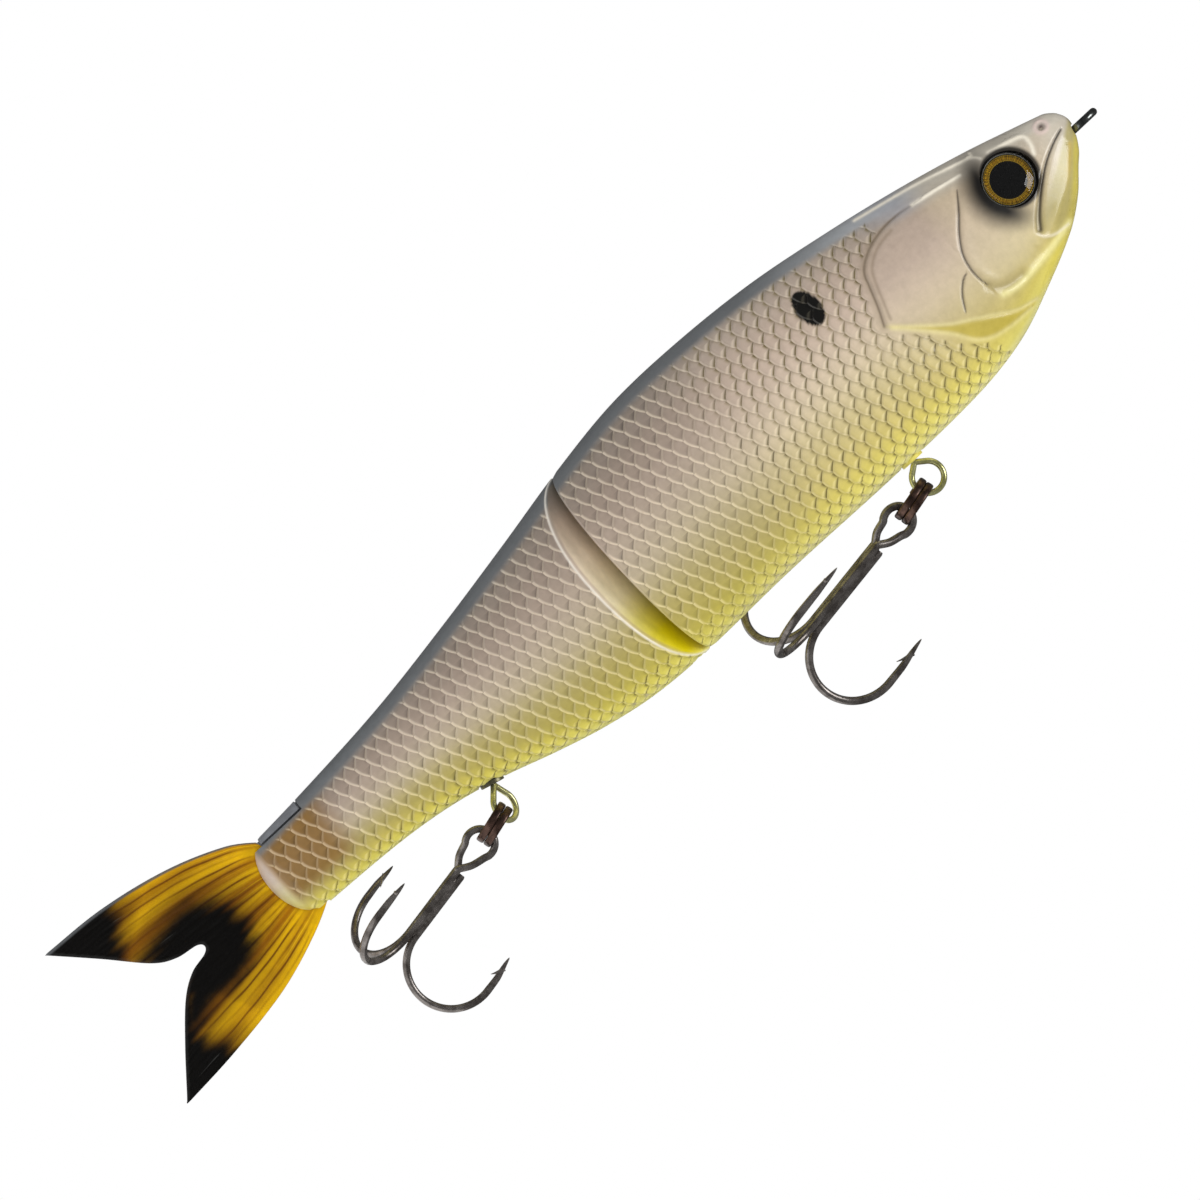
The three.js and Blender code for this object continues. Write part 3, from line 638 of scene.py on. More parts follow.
def paint_head(colour, back, up):
    """Plates and lines of the head, with painted shadows and painted highlights."""
    near, along = head_lines(back, up)
    jaw = smooth(0.4, -0.6, up - (4.2 - 0.64 * back)) * smooth(14, 9, back)
    chin = smooth(2.0, 0.8, up - BELLY_LINE(back)) * smooth(22, 14, back) * smooth(0.2, 1.2, back)
    beside_jaw = bump(near["jaw"] - 1.2, 1.2) * smooth(5.5, 8, back) * smooth(14.5, 12.5, back)
    band = edge_inside(back, up, BAND, near["gill_lower"], near["band_lower"])
    rear, down_rear = near["gill_rear"], along["gill_rear"]
    colour = airbrush(
        colour,
        ((193, 178, 144), 0.45 * smooth(26, 20, back) * smooth(-9, -2, up)),
        ((194, 187, 173), 0.8 * smooth(10, 2, back)),
        ((168, 156, 88), 0.75 * jaw),
        ((206, 190, 72), 0.75 * chin),
        ((156, 144, 92), 0.5 * beside_jaw * (up > -6.5)),
        ((178, 160, 60), 0.85 * smooth(-0.1, 0.4, band)),
        ((222, 210, 150), 0.75 * bump(near["gill_lower"] + 0.1, 0.34) * smooth(40, 36, back)),
        ((228, 216, 150), 0.5 * bump(near["band_lower"], 0.35)),
        ((150, 136, 90), 0.6 * bump(near["cheek_shade"], 0.7)),
        ((232, 224, 158), 0.7 * bump(near["cheek_ridge"], 0.5)),
        ((84, 70, 54), 0.85 * bump(rear, 0.17) * smooth(0.02, 0.3, down_rear)),
        # A wide soft band in front of the gill cover's rear edge: painted shadow.
        ((146, 130, 108), 0.5 * bump(rear, 0.7) * smooth(0.15, 0.4, down_rear)),
        ((132, 116, 96), 0.55 * bump(near["gill_inner"], 0.24)),
    )
    # Pale lines along the raised crest, notch, temple, brow and mouth corner: painted highlights on the
    # ridges.
    for name, width, strength in (
        ("crest", 0.24, 0.85), ("crest_notch", 0.22, 0.8), ("temple", 0.26, 0.85), ("brow", 0.34, 0.9),
        ("mouth_corner", 0.2, 0.5),
    ):
        colour = airbrush(colour, ((236, 228, 210), strength * bump(near[name], width)))
    jaw = bump(near["jaw"], 0.35) * smooth(0.5, 0.1, along["jaw"])
    colour = airbrush(colour, ((196, 166, 62), 0.5 * jaw))

    eye = np.hypot(back - EYE["back"], up - EYE["up"])
    halo = smooth(8.0, 4.4, eye) ** 0.8 * (0.08 + 0.92 * smooth(-0.8, 3.4, back - EYE["back"]))
    colour = airbrush(colour, ((20, 18, 16), np.maximum(halo, 0.95 * smooth(4.8, 4.15, eye))))
    for name, width in (("cheek", 0.19), ("slit", 0.17)):
        taper = np.sqrt(np.clip(5 * np.minimum(along[name], 1 - along[name]) + 0.15, 0, 1))
        colour = airbrush(colour, ((52, 44, 36), 0.85 * bump(near[name], width * taper)))
    nostril = from_nostril(back, up)
    return airbrush(
        colour,
        ((40, 34, 28), 0.92 * bump(near["mouth"], 0.16 + 0.22 * along["mouth"] ** 2)),
        ((214, 190, 184), 0.6 * bump(nostril - 0.8, 0.35)),
        ((70, 44, 48), 0.9 * bump(nostril, 0.42)),
    )


def paint_inside(back, up):
    """Colours of the joint faces, slots and pockets, with painted light and painted shade in them."""
    bare = linear(196, 186, 158) + 0 * back[:, None]
    # The eye socket's walls are painted near black: painted shade in the gap round the eye.
    bare = airbrush(bare, ((14, 13, 12), smooth(5.4, 4.6, np.hypot(back - EYE["back"], up - EYE["up"]))))
    # The joint faces, partly their own tones and partly painted light.
    colour = mix(bare, ramp(up, JOINT_TONES_AND_PAINTED_LIGHT), bump(back - 87.5, 5))
    # The slot walls beside the rail are painted dark grey: painted shade in the slot.
    return airbrush(colour, ((44, 46, 48), smooth(139.5, 140.3, back) * smooth(5.9, 6.4, up)))


def add_markings(data, section):
    """Everything that the body's material needs to know about each point."""
    points = coordinates(data)
    back, up, side = points.T
    colour, ink = paint(points)
    above_belly = up - BELLY_LINE(back)
    from_edge = np.minimum(above_belly, BACK_LINE(back) - up)
    inner = smooth(0.4, 0.7, np.minimum(skin_side(back, up) - np.abs(side), from_edge))
    from_face = back - (front_face if section == "front" else tail_face)(side)
    if section == "tail":
        # A thin pale line along the tail section's rounded front rim: painted highlight on its edge.
        rim = bump(from_face - 0.2, 0.13) * (1 - inner) * (back < 95)
        colour = airbrush(colour, ((232, 226, 214), 0.75 * rim))
    add_colour(data, "paint", mix(colour, paint_inside(back, up), inner))
    for name, values in (
        ("back", back),
        ("level", girth(back, up, side)),
        ("scaled", scaled(back, up) * (1 - inner) * smooth(0.1, 0.5, np.abs(from_face))),
        ("cream", smooth(56, 70, back) * smooth(1.0, 4.0, above_belly)),
        ("gloss", np.maximum(ink, 0.7 * smooth(13, 3, back))),
    ):
        add_value(data, name, values)


# ---------------------------------------------------------------- the shells
MIDDLE_FADE = np.array([0, 0.4, 0.75, 0.95])  # of the relief, in the columns next to the middle plane
HEAD_ROWS_TO = 40.0
NOSE_ANGLES = np.linspace(0.12, np.pi / 2, 14)  # of the rows round the blunt snout


def front_face(side):
    """The front section's rear face: a shallow V with a groove for the knuckle."""
    side = np.abs(side)
    plane = HINGE_BACK - FRONT_FACE_AHEAD + FRONT_SLOPE * side
    groove_radius = KNUCKLE + KNUCKLE_ROOM
    groove = HINGE_BACK - np.sqrt(np.maximum(groove_radius**2 - side**2, 0))
    return np.where(side < groove_radius, np.minimum(plane, groove), plane)


def tail_face(side):
    """The tail section's front face: a round knuckle between two flat flanks."""
    side = np.abs(side)
    lean = math.atan(TAIL_SLOPE)
    start = KNUCKLE * math.sin(lean)
    flank = HINGE_BACK - KNUCKLE * math.cos(lean) + TAIL_SLOPE * (side - start)
    knuckle = HINGE_BACK - np.sqrt(np.maximum(KNUCKLE**2 - side**2, 0))
    return np.where(side < start, knuckle, flank)


def rim_of(face, angle):
    """Where a joint face meets the skin, as a distance behind the snout."""
    back = np.full(angle.shape, float(HINGE_BACK))
    for _ in range(30):
        back = face(skin(back, angle)[:, 2])
    return back


def joint_rows(face, rim, outward):
    """Rows of points from just before the rim, round it and over the joint face to its middle."""
    angle = np.linspace(0, np.pi, len(rim))
    before, edge = skin(rim - outward * RIM_ROUND, angle), skin(rim, angle)
    middle = np.array([0, WIDEST_LINE(HINGE_BACK), 0.0])
    inner = 1 - RIM_ROUND / np.linalg.norm(edge[:, 1:] - middle[1:], axis=1)

    def on_face(share):
        spot = middle + (edge - middle) * share[:, None]
        spot[:, 0] = face(spot[:, 2])
        return spot

    after = on_face(inner)
    rows = [(1 - t) ** 2 * before + 2 * t * (1 - t) * edge + t**2 * after for t in (0.2, 0.4, 0.6, 0.8, 1)]
    return rows + [on_face(inner * share) for share in np.linspace(1, 0.02, 26)[1:]]


def displaced(grid):
    """A grid of skin points with the relief added along its normals."""
    normal = np.cross(np.gradient(grid, axis=0), np.gradient(grid, axis=1))
    normal /= np.maximum(np.linalg.norm(normal, axis=2), 1e-9)[..., None]
    outwards = grid - np.stack([grid[..., 0], WIDEST_LINE(grid[..., 0]), 0 * grid[..., 0]], -1)
    normal *= np.sign(np.einsum("ijk,ijk->ij", normal, outwards))[..., None]
    normal[:, 0, 2] = normal[:, -1, 2] = 0
    height = relief(*(grid[..., k].ravel() for k in range(3))).reshape(grid.shape[:2])
    height[:, :len(MIDDLE_FADE)] *= MIDDLE_FADE
    height[:, -len(MIDDLE_FADE):] *= MIDDLE_FADE[::-1]
    return grid + normal * height[..., None]


def closed_half(name, rows, first, last, left):
    """A closed half of the body from rows of points, each from the back round to the belly. Rows first
    to last lie on the skin; the rest go over the faces at its ends."""
    grid = np.array(rows)
    count, columns = grid.shape[:2]
    thickest = 12
    grid[..., 2] = np.maximum(grid[..., 2], 0) * (1 - SEAM / thickest) + SEAM
    grid[:, 0, 2] = grid[:, -1, 2] = SEAM
    if not left:
        grid[..., 2] *= -1
    top = np.arange(count) * columns
    belly = top + columns - 1
    middle = [top[first:last], belly[first:last], belly[first + 1:last + 1], top[first + 1:last + 1]]
    polygons = end_caps(count, columns)
    if first:
        polygons.append([*top[:first + 1][::-1], *belly[:first + 1]])
    if last < count - 1:
        polygons.append([*top[last:], *belly[last:][::-1]])
    quads = np.vstack([grid_quads(count, columns), np.column_stack(middle)])
    return cleaned(mesh_of(name, grid, quads, polygons))


def front_skin():
    """The front section's rim, the skin up to it with more rows on the head, and how much of the relief
    each row gets."""
    angle = np.linspace(0, np.pi, FRONT_COLUMNS)
    rim = rim_of(front_face, angle)
    nose = 1 - np.cos(NOSE_ANGLES)
    end = float(rim[0]) - RIM_ROUND
    head = np.linspace(SNOUT_ROUND, HEAD_ROWS_TO, int(FRONT_ROWS * 0.58))[1:]
    flank = np.linspace(HEAD_ROWS_TO, end, FRONT_ROWS - len(head) - len(nose))[1:]
    shares = np.concatenate([nose * SNOUT_ROUND, head, flank]) / end
    return rim, skin(shares[:, None] * (rim - RIM_ROUND), angle), smooth(1.0, 0.994, shares)


def tail_skin():
    """The same for the tail section, from its rim to its rounded end."""
    angle = np.linspace(0, np.pi, TAIL_COLUMNS)
    rim = rim_of(tail_face, angle)
    start = rim + RIM_ROUND
    shares = np.linspace(0, 1, TAIL_ROWS - 15)[:, None]
    straight = start + shares * (BODY_END - END_ROUND - start)
    round_end = BODY_END - END_ROUND * (1 - np.sin(np.linspace(0, np.pi / 2 - 0.05, 16)[1:]))
    backs = np.vstack([straight, np.repeat(round_end[:, None], TAIL_COLUMNS, 1)])
    return rim, skin(backs, angle), smooth(0, 0.008, np.linspace(0, 1, len(backs)))


def shell(name, left, section):
    """One half of the front or the tail section, with its relief, before anything is cut from it."""
    rim, grid, fade = (front_skin if section == "front" else tail_skin)()
    rows = list(grid + (displaced(grid) - grid) * fade[:, None, None])
    if section == "front":
        return closed_half(name, rows + joint_rows(front_face, rim, 1), 0, len(rows) - 1, left)
    joint = joint_rows(tail_face, rim, -1)[::-1]
    return closed_half(name, joint + rows, len(joint), len(joint) + len(rows) - 1, left)


def room(front, rear, ribs, posts):
    """The hollow inside a section, with its ribs and posts left standing."""
    backs = np.linspace(front, rear, 24)[:, None]
    hollow = ringed("room", skin(backs, full_turn(40), WALL))
    for back, thick, top in ribs:
        combine(hollow, block((back, -FAR, -FAR), (back + thick, top, FAR)), "DIFFERENCE")
    for back, up, radius in posts:
        combine(hollow, cylinder((back, up, -FAR), (back, up, FAR), radius), "DIFFERENCE")
    return hollow


def on_hanger(hanger, y, along=0.0):
    """A point in the plane of a hanger's loop: y up its stem from the belly and along to one side."""
    tilt, turn = math.radians(hanger["tilt"]), math.radians(hanger["turn"])
    x = along * math.cos(turn)
    return np.array([
        hanger["back"] + x * math.cos(tilt) - y * math.sin(tilt),
        hanger["up"] + x * math.sin(tilt) + y * math.cos(tilt),
        -along * math.sin(turn),
    ])


def hanger_pocket(hanger):
    pieces = (
        (-3, BUSHING["top"] + GAP, BUSHING["flange"] + GAP),
        (-3, BUSHING["length"] + GAP, BUSHING["radius"] + GAP),
        (3, HANGER_HEAD["high"] + GAP, HANGER_HEAD["radius"] + GAP + 0.1),
    )
    return union(*(cylinder(on_hanger(hanger, low), on_hanger(hanger, high), r) for low, high, r in pieces))


def wire_eye(at, up, radius, anchor, wire, room=0.0):
    """A level wire loop, a stem back from it and an anchor ring round a post."""
    way = math.copysign(1, anchor - at)
    wire += room
    return union(
        torus((at, up, 0), radius, wire, (0, 1, 0)),
        cylinder((at + way * radius, up, 0), (anchor - way * ANCHOR_RADIUS, up, 0), wire),
        torus((anchor, up, 0), ANCHOR_RADIUS, wire, (0, 0, 1)),
    )


def eye_place(left):
    """The eye's centre on the skin and its outward direction."""
    side = 1 if left else -1
    reach = float(skin(EYE["back"], np.pi / 2)[2])
    return Vector((EYE["back"], EYE["up"], side * reach * 0.985)), Vector((-0.2, 0.04, side)).normalized()


def eye_socket(left):
    centre, outward = eye_place(left)
    low = centre - outward * (EYE["sink"] + 0.3)
    return cylinder(low, centre + outward * 4, EYE["radius"] + GAP, sides=96)


def hinge_slot(up):
    reach, tall = HINGE_EYE["radius"] + HINGE_EYE["wire"] + 0.35, HINGE_EYE["wire"] + GAP
    return union(
        cylinder((HINGE_BACK, up - tall, 0), (HINGE_BACK, up + tall, 0), reach, sides=48),
        block((AHEAD_OF_TAIL, up - tall, -reach), (HINGE_BACK, up + tall, reach)),
    )


def fin_slot():
    """Room for the fin's tab, for the fin behind it and for the rail."""
    side = FIN["thick"] / 2 + GAP
    return union(
        block((FIN["front"] - GAP, FIN["floor"] - GAP, -side), (PAST_END, FAR, side)),
        block((FIN["rear"] - GAP, -FAR, -side), (PAST_END, FAR + 0.5, side)),
        block((RAIL["front"] - GAP, RAIL["floor"] - GAP, -FAR), (PAST_END + 0.5, FAR + 0.7, FAR)),
    )


def front_tools(left):
    eyes = [wire_eye(up=up, room=GAP, **HINGE_EYE) for up in HINGE_EYES_UP]
    return [
        room(**FRONT_ROOM), wire_eye(room=GAP, **TIE), *eyes, hanger_pocket(FRONT_HANGER), eye_socket(left),
    ]


def tail_tools():
    pin = cylinder((HINGE_BACK, -FAR, 0), (HINGE_BACK, PIN_TOP + GAP, 0), PIN_RADIUS + GAP)
    slots = [hinge_slot(up) for up in HINGE_EYES_UP]
    return [room(**TAIL_ROOM), *slots, pin, hanger_pocket(REAR_HANGER), fin_slot()]


def make_shells(material):
    for section, side in product(("front", "tail"), ("right", "left")):
        name, left = f"{section}_shell_{side}", side == "left"
        made = shell(name, left, section)
        for tool in front_tools(left) if section == "front" else tail_tools():
            combine(made, tool, "DIFFERENCE")
        add_markings(made.data, section)
        place(made, f"{name}_skin", f"{section}_body", material, name, crease=55)


# ---------------------------------------------------------------- wires, rings and hooks
def make_hanger(name, hanger, wire_material, bushing_material, body, shell_body):
    neck, drop, loop = -0.55, hanger["drop"], hanger["loop"]
    lean = math.acos(loop / (drop + neck))
    circle = [
        (loop * math.sin(a), -drop + loop * math.cos(a)) for a in np.linspace(lean, 2 * math.pi - lean, 60)
    ]
    legs = [(0.12, neck + 0.25), (0.16, neck)]
    path = legs + circle + [(-x, y) for x, y in legs[::-1]]
    wire = HANGER_WIRE / 2
    low, high = HANGER_HEAD["low"], HANGER_HEAD["high"]
    turn = math.radians(hanger["turn"])
    stem = on_hanger(hanger, 1) - on_hanger(hanger, 0)
    beside = np.cross((math.cos(turn), 0, -math.sin(turn)), stem)
    line = curve([on_hanger(hanger, y, x) for x, y in path], 0.12)
    made = union(
        tube(name, line, wire, 20, ref=beside),
        cylinder(on_hanger(hanger, neck - 0.2), on_hanger(hanger, low + 0.1), wire, sides=24),
        cylinder(on_hanger(hanger, low), on_hanger(hanger, high), HANGER_HEAD["radius"]),
    )
    place(made, f"{name}_hook_hanger_wire", body, wire_material, f"{name}_hook_hanger")

    bore, radius, flange, proud, top, length = BUSHING.values()
    soft = 0.07
    outline = [
        (bore, -proud + soft), (bore + soft, -proud), (flange - soft, -proud), (flange, -proud + soft),
        (flange, top), (radius, top), (radius, length), (bore, length),
    ]
    node = f"{name}_hanger_bushing"
    made = lathe(name, outline, on_hanger(hanger, 0), stem)
    place(made, f"{node}_ring", shell_body, bushing_material, node, crease=30)


def seat_of(hanger, ring):
    """The middle of a hanger's split ring."""
    swing, lean = math.radians(ring["swing"]), math.radians(ring["lean"])
    loop = hanger["loop"]
    hold = on_hanger(hanger, -hanger["drop"] - loop * math.sin(swing), loop * math.cos(swing))
    return hold + ring["reach"] * np.array([math.cos(lean), -math.sin(lean), 0])


def make_split_ring(name, seat, ring, material, body):
    """Two turns of flattened wire side by side, with a crossover between them."""
    lean = math.radians(ring["lean"])
    forward = np.array([math.cos(lean), -math.sin(lean), 0])
    axis = np.array([math.sin(lean), math.cos(lean), 0])
    sweep = np.linspace(0, 690, 260)
    angle = np.radians(sweep - 75)[:, None]
    climb = (smooth(315, 375, sweep)[:, None] - 0.5) * (RING_WIRE["axial"] + 0.02)
    round_trip = np.cos(angle) * forward - np.sin(angle) * np.array([0, 0, 1])
    path = seat + ring["radius"] * round_trip + climb * axis
    section = (RING_WIRE["radial"] / 2, RING_WIRE["axial"] / 2)
    made = tube(name, path, 1.0, 24, ref=axis, section=section)
    place(made, f"{name}_split_ring_coil", body, material, f"{name}_split_ring", crease=60)


def rolled(x, drop, roll):
    """A point of a treble that is x along it and drop out from its axis, at a roll angle in degrees."""
    roll = math.radians(roll)
    return np.stack([x + 0 * drop, -drop * math.cos(roll), drop * math.sin(roll)], -1)


def shank_drop(treble):
    """How far each shank's middle line is from the treble's axis, so that the three nearly touch."""
    return (treble["wire"] + 0.08) / math.sqrt(3)


def hook_line(treble, roll):
    """A hook's middle line from its shank to its point, and the wire's radius along it."""
    offset, bend, start = shank_drop(treble), treble["bend"], treble["bend_at"]
    turn = np.linspace(0, np.pi, 64)
    run = np.linspace(0, 1, 34)[1:]
    x = np.concatenate([start + bend * np.sin(turn), start - treble["point"] * run])
    to_point = offset + 2 * bend - 0.35 * smooth(0.3, 1.0, run)
    drop = np.concatenate([offset + bend * (1 - np.cos(turn)), to_point])
    cone = np.sqrt(np.clip(1 - ((run - 0.38) / 0.62).clip(0) ** 1.25, 0.004, 1)) * (1 - 0.25 * run)
    return rolled(x, drop, roll), np.concatenate([np.ones(64), cone]) * treble["wire"] / 2


def barb(treble, roll):
    thick, rear = treble["wire"], shank_drop(treble) + 2 * treble["bend"]
    cut = [(0.70, 0.02), (0.58, 0.26), (0.46, 0.66), (0.38, 0.98)]
    path = [rolled(treble["bend_at"] - treble["point"] * s, rear - thick * lift, roll) for s, lift in cut]
    path = curve(path, 0.1)
    return tube("tool", path, np.linspace(0.36, 0.04, len(path)) * thick, 12)


def make_treble(name, seat, treble, material, body):
    lean = math.radians(treble["lean"])
    lean_down = np.array([
        [math.cos(lean), math.sin(lean), 0], [-math.sin(lean), math.cos(lean), 0], [0, 0, 1],
    ])

    def finish(made, kind):
        co = coordinates(made.data) @ lean_down.T + seat
        made.data.vertices.foreach_set("co", co.astype(np.float32).ravel())
        node = f"{name}_treble_{kind}"
        place(made, f"{node}_wire", body, material, node, crease=60)

    roll, thick, offset = treble["roll"], treble["wire"], shank_drop(treble)
    eye, radius, bend_at = treble["eye"], treble["eye_radius"], treble["bend_at"]
    lean_in = math.acos(radius / (TREBLE_NECK - 0.5 - eye))
    angles = np.linspace(lean_in, 2 * math.pi - lean_in, 70)
    circle = rolled(eye + radius * np.cos(angles), radius * np.sin(angles), roll)
    shank_x = np.linspace(TREBLE_NECK + 0.5, bend_at, 40)
    (first_hook, first_radius), (second_hook, second_radius) = (
        hook_line(treble, roll + turn) for turn in (-120, 120)
    )
    first_leg, second_leg = (rolled(shank_x, offset + 0 * shank_x, roll + turn) for turn in (-120, 120))
    first_side, second_side = (
        end * 0.45 + leg[0] * 0.55 + 0.3 * unit(end - rolled(end[0], 0, roll))
        for end, leg in ((circle[0], first_leg), (circle[-1], second_leg))
    )
    loop = [first_side, *circle[::6], circle[-1], second_side]
    between = curve([first_leg[1], first_leg[0], *loop, second_leg[0], second_leg[1]], 0.16)
    path = np.vstack([first_hook[::-1], first_leg[:1:-1], between, second_leg[2:], second_hook])
    middle = len(path) - len(first_hook) - len(second_hook)
    radii = np.concatenate([first_radius[::-1], np.full(middle, thick / 2), second_radius])
    apart = np.concatenate([[True], np.linalg.norm(np.diff(path, axis=0), axis=1) > 1e-4])
    braze_x = np.linspace(TREBLE_NECK + 1.3, bend_at + 1.2, 60)
    swell = np.sqrt(smooth(0, 1.2, braze_x - braze_x[0]) * smooth(0, 2.5, braze_x[-1] - braze_x))
    lumps = 1 + 0.03 * np.sin(braze_x * 2.1) + 0.02 * np.sin(braze_x * 5.3)
    finish(union(
        tube(name, path[apart], radii[apart], 20),
        barb(treble, roll - 120),
        barb(treble, roll + 120),
        tube("tool", [(x, 0, 0) for x in braze_x], 0.72 * thick * np.maximum(swell * lumps, 0.1), 32),
    ), "double_hook")

    line, radii = hook_line(treble, roll)
    shank_x = np.linspace(TREBLE_NECK + 0.9, bend_at, 40)[:-1]
    shank = rolled(shank_x, offset + 0 * shank_x, roll)
    blunt_end = (1 - 0.22 * bump(shank_x - shank_x[0], 0.18)) * thick / 2
    made = tube(name, np.vstack([shank, line]), np.concatenate([blunt_end, radii]), 20)
    finish(union(made, barb(treble, roll)), "single_hook")


# ---------------------------------------------------------------- eyes
def make_eyes(foil_material, lens_material):
    radius, thick, dome, soft = EYE["radius"], EYE["foil"], EYE["dome"], 0.08
    disc = [(0, 0), (radius - soft, 0), (radius, soft), (radius, thick - soft), (radius - soft, thick)]
    raised_print = [(r, thick + 0.03 * bump(r - 3.32, 0.14)) for r in np.linspace(radius - 0.12, 0.05, 70)]
    arc = [
        (radius * math.cos(a), 0.35 + dome * math.sin(a)) for a in np.linspace(0, np.pi / 2, 28)[:-1]
    ]
    for which in ("right", "left"):
        centre, outward = eye_place(which == "left")
        bottom = centre - outward * EYE["sink"]
        foil = lathe("foil", [*disc, *raised_print, (0, thick)], bottom, outward, steps=144)
        out = np.array(outward)
        local = coordinates(foil.data) - np.array(bottom)
        flat = local - np.outer(local @ out, out)
        up = np.array([0, 1, 0]) - out[1] * out
        across = np.cross(up, out)
        add_value(foil.data, "ring", np.linalg.norm(flat, axis=1) / radius)
        add_value(foil.data, "around", np.arctan2(flat @ up, flat @ across) / (2 * np.pi))
        node = f"eye_foil_{which}"
        place(foil, f"{node}_printed", "front_body", foil_material, node, crease=40)

        outline = [(0, 0), (radius - soft, 0), (radius, soft), *arc, (0, 0.35 + dome)]
        lens = lathe("lens", outline, bottom + outward * (thick + 0.08), outward, steps=120)
        node = f"eye_lens_{which}"
        place(lens, f"{node}_dome", "front_body", lens_material, node, crease=40)


# ---------------------------------------------------------------- tail fin
FIN_TOP = profile([
    (145.4, 6.0), (147.9, 6.5), (148.3, 7.5), (152, 10.1), (160, 13.2), (170, 15.3), (179.3, 15.95),
    (180, 15.9),
])
FIN_BOTTOM = profile([
    (145.4, -3.4), (146.8, -5.0), (153, -7.8), (160, -9.9), (170, -11.4), (178.7, -12.1), (180, -12.1),
])
FIN_TRAILING = curve([
    (179.5, -12.0), (178.9, -11.4), (174.4, -6.2), (170, -1.6), (166.8, 0.5), (163.9, 1.2), (163.1, 2.0),
    (163.9, 2.8), (167, 3.4), (170, 5.2), (174.6, 10.3), (179.2, 15.2), (179.9, 15.9),
], 0.1)
FIN_ROOT = 145.5
FIN_EDGE_ROWS = (0.989, 0.992, 0.995, 0.9975, 0.9992, 1.0)  # the last shares of the way to the rear edge
# The black round the fork: a line of (back, up) with how far the black reaches from it.
FIN_BLACK = np.array([
    (170.3, 5.0, 0.7), (166.5, 4.5, 2.1), (162.8, 3.2, 3.8), (161.6, 1.2, 4.4), (163.6, -0.4, 3.1),
    (167.5, -1.8, 1.3), (171.0, -4.4, 0.3),
])
RAYS = 21


def fin_share(back, up):
    """How far a point is from the fin's lower edge to its upper edge, 0 to 1."""
    return (up - FIN_BOTTOM(back)) / (FIN_TOP(back) - FIN_BOTTOM(back))


def fin_ink(back, up):
    """How far inside the fin's black areas a point is: round the fork, at both tips and along the lower
    lobe's rear edge."""
    distance, along = line_distance(back, up, curve(FIN_BLACK[:, :2]), reach=99)
    fork = np.interp(along, np.linspace(0, 1, len(FIN_BLACK)), FIN_BLACK[:, 2]) - distance
    upper_tip = back - 169.4 - 0.6 * (14.5 - up) - 20 * (up < 4)
    lower_tip = back - 170.9 - 0.5 * (up + 10.4) - 20 * (up > -2)
    margin = 1.0 - line_distance(back, up, FIN_TRAILING)[0] - 20 * (up > -1.5)
    return np.maximum.reduce([fork, upper_tip, lower_tip, margin])


def ray_pattern(back, share):
    """Fin rays that fan out and fork towards the trailing edge: ridges from 0 to 1."""
    out = smooth(150, 172, back)
    bend = np.sin(back * 0.45 + share * 23) * 0.0025 + np.sin(back * 1.1 + share * 61) * 0.0015
    angle = (share + bend) * (2 * np.pi * RAYS)
    few = np.sin(angle) * 0.5 + 0.5
    many = np.sin(angle * 2 + 0.8) * 0.5 + 0.5
    return few * (1 - out * 0.5) + many * out * 0.5


def make_fin(material):
    back_line, up_line = FIN_TRAILING.T
    edge_share = fin_share(back_line, up_line)
    order = np.argsort(edge_share)
    share = np.linspace(0, 1, FIN_COLUMNS)
    share = share - 0.05 * np.sin(2 * np.pi * share) / (2 * np.pi)
    far = np.interp(share, edge_share[order], back_line[order])
    rows = np.concatenate([np.linspace(0, 0.985, FIN_ROWS - len(FIN_EDGE_ROWS)), FIN_EDGE_ROWS])
    back = FIN_ROOT + rows[:, None] * (far - FIN_ROOT)
    across = share + 0 * back
    span = FIN_TOP(back) - FIN_BOTTOM(back)
    up = FIN_BOTTOM(back) + across * span
    trailing, _ = line_distance(back.ravel(), up.ravel(), FIN_TRAILING)
    to_edge = np.minimum(np.minimum(across, 1 - across) * span, trailing.reshape(back.shape))
    full = FIN["thick"] / 2 * (1 - 0.42 * smooth(148, 176, back))
    edge = np.clip(to_edge / 0.6, 0, 1)
    half = full * np.sqrt(np.clip(1 - (1 - edge) ** 2, 0.0, 1))
    rayed = smooth(150.3, 152.5, back) * smooth(0, 0.8, to_edge)
    half = np.maximum(half - 0.09 * rayed + 0.10 * rayed * ray_pattern(back, across), 0.03)

    left = np.stack([back, up, half], -1).reshape(-1, 3)
    count, columns = back.shape
    total = count * columns
    faces = grid_quads(count, columns)
    loop = np.concatenate([
        np.arange(columns), np.arange(1, count) * columns + columns - 1,
        (count - 1) * columns + np.arange(columns - 2, -1, -1), np.arange(count - 2, 0, -1) * columns,
    ])
    after = np.roll(loop, -1)
    rim = np.column_stack([loop, loop + total, after + total, after])
    points = np.vstack([left, left * [1, 1, -1]])
    made = cleaned(mesh_of("fin", points, np.vstack([faces, (faces + total)[:, ::-1], rim])))
    half_tab = FIN["thick"] / 2 - 0.002
    made = union(made, block((FIN["front"], FIN["floor"], -half_tab), (FIN["rear"], FIN["roof"], half_tab)))
    back, up, _ = coordinates(made.data).T
    for name, values in (
        ("back", back), ("share", np.clip(fin_share(back, up), 0, 1)), ("ink", fin_ink(back, up)),
    ):
        add_value(made.data, name, values)
    place(made, "tail_fin_rayed", "fin_unit", material, "tail_fin", crease=50)


def make_rail(material):
    """The slice of the peduncle's grey back that slides in with the fin."""
    front, rear, floor = RAIL["front"], RAIL["rear"], RAIL["floor"]
    backs = np.linspace(138, 149, int(90 * DETAIL))
    made = ringed("rail", skin(backs[:, None], full_turn(180)))
    combine(made, block((front, floor, -FAR), (rear, FAR, FAR)), "INTERSECT")
    keel = block((front - 0.24, FIN["roof"] + 0.1, -0.5), (rear + 0.5, floor + 0.5, 0.5))
    tongue = block((front - 0.25, floor, -0.7), (front + 0.4, 7.95, 0.7))
    union(made, keel, tongue)
    place(made, "tail_fin_rail_cap", "fin_unit", material, "tail_fin_rail", crease=30)


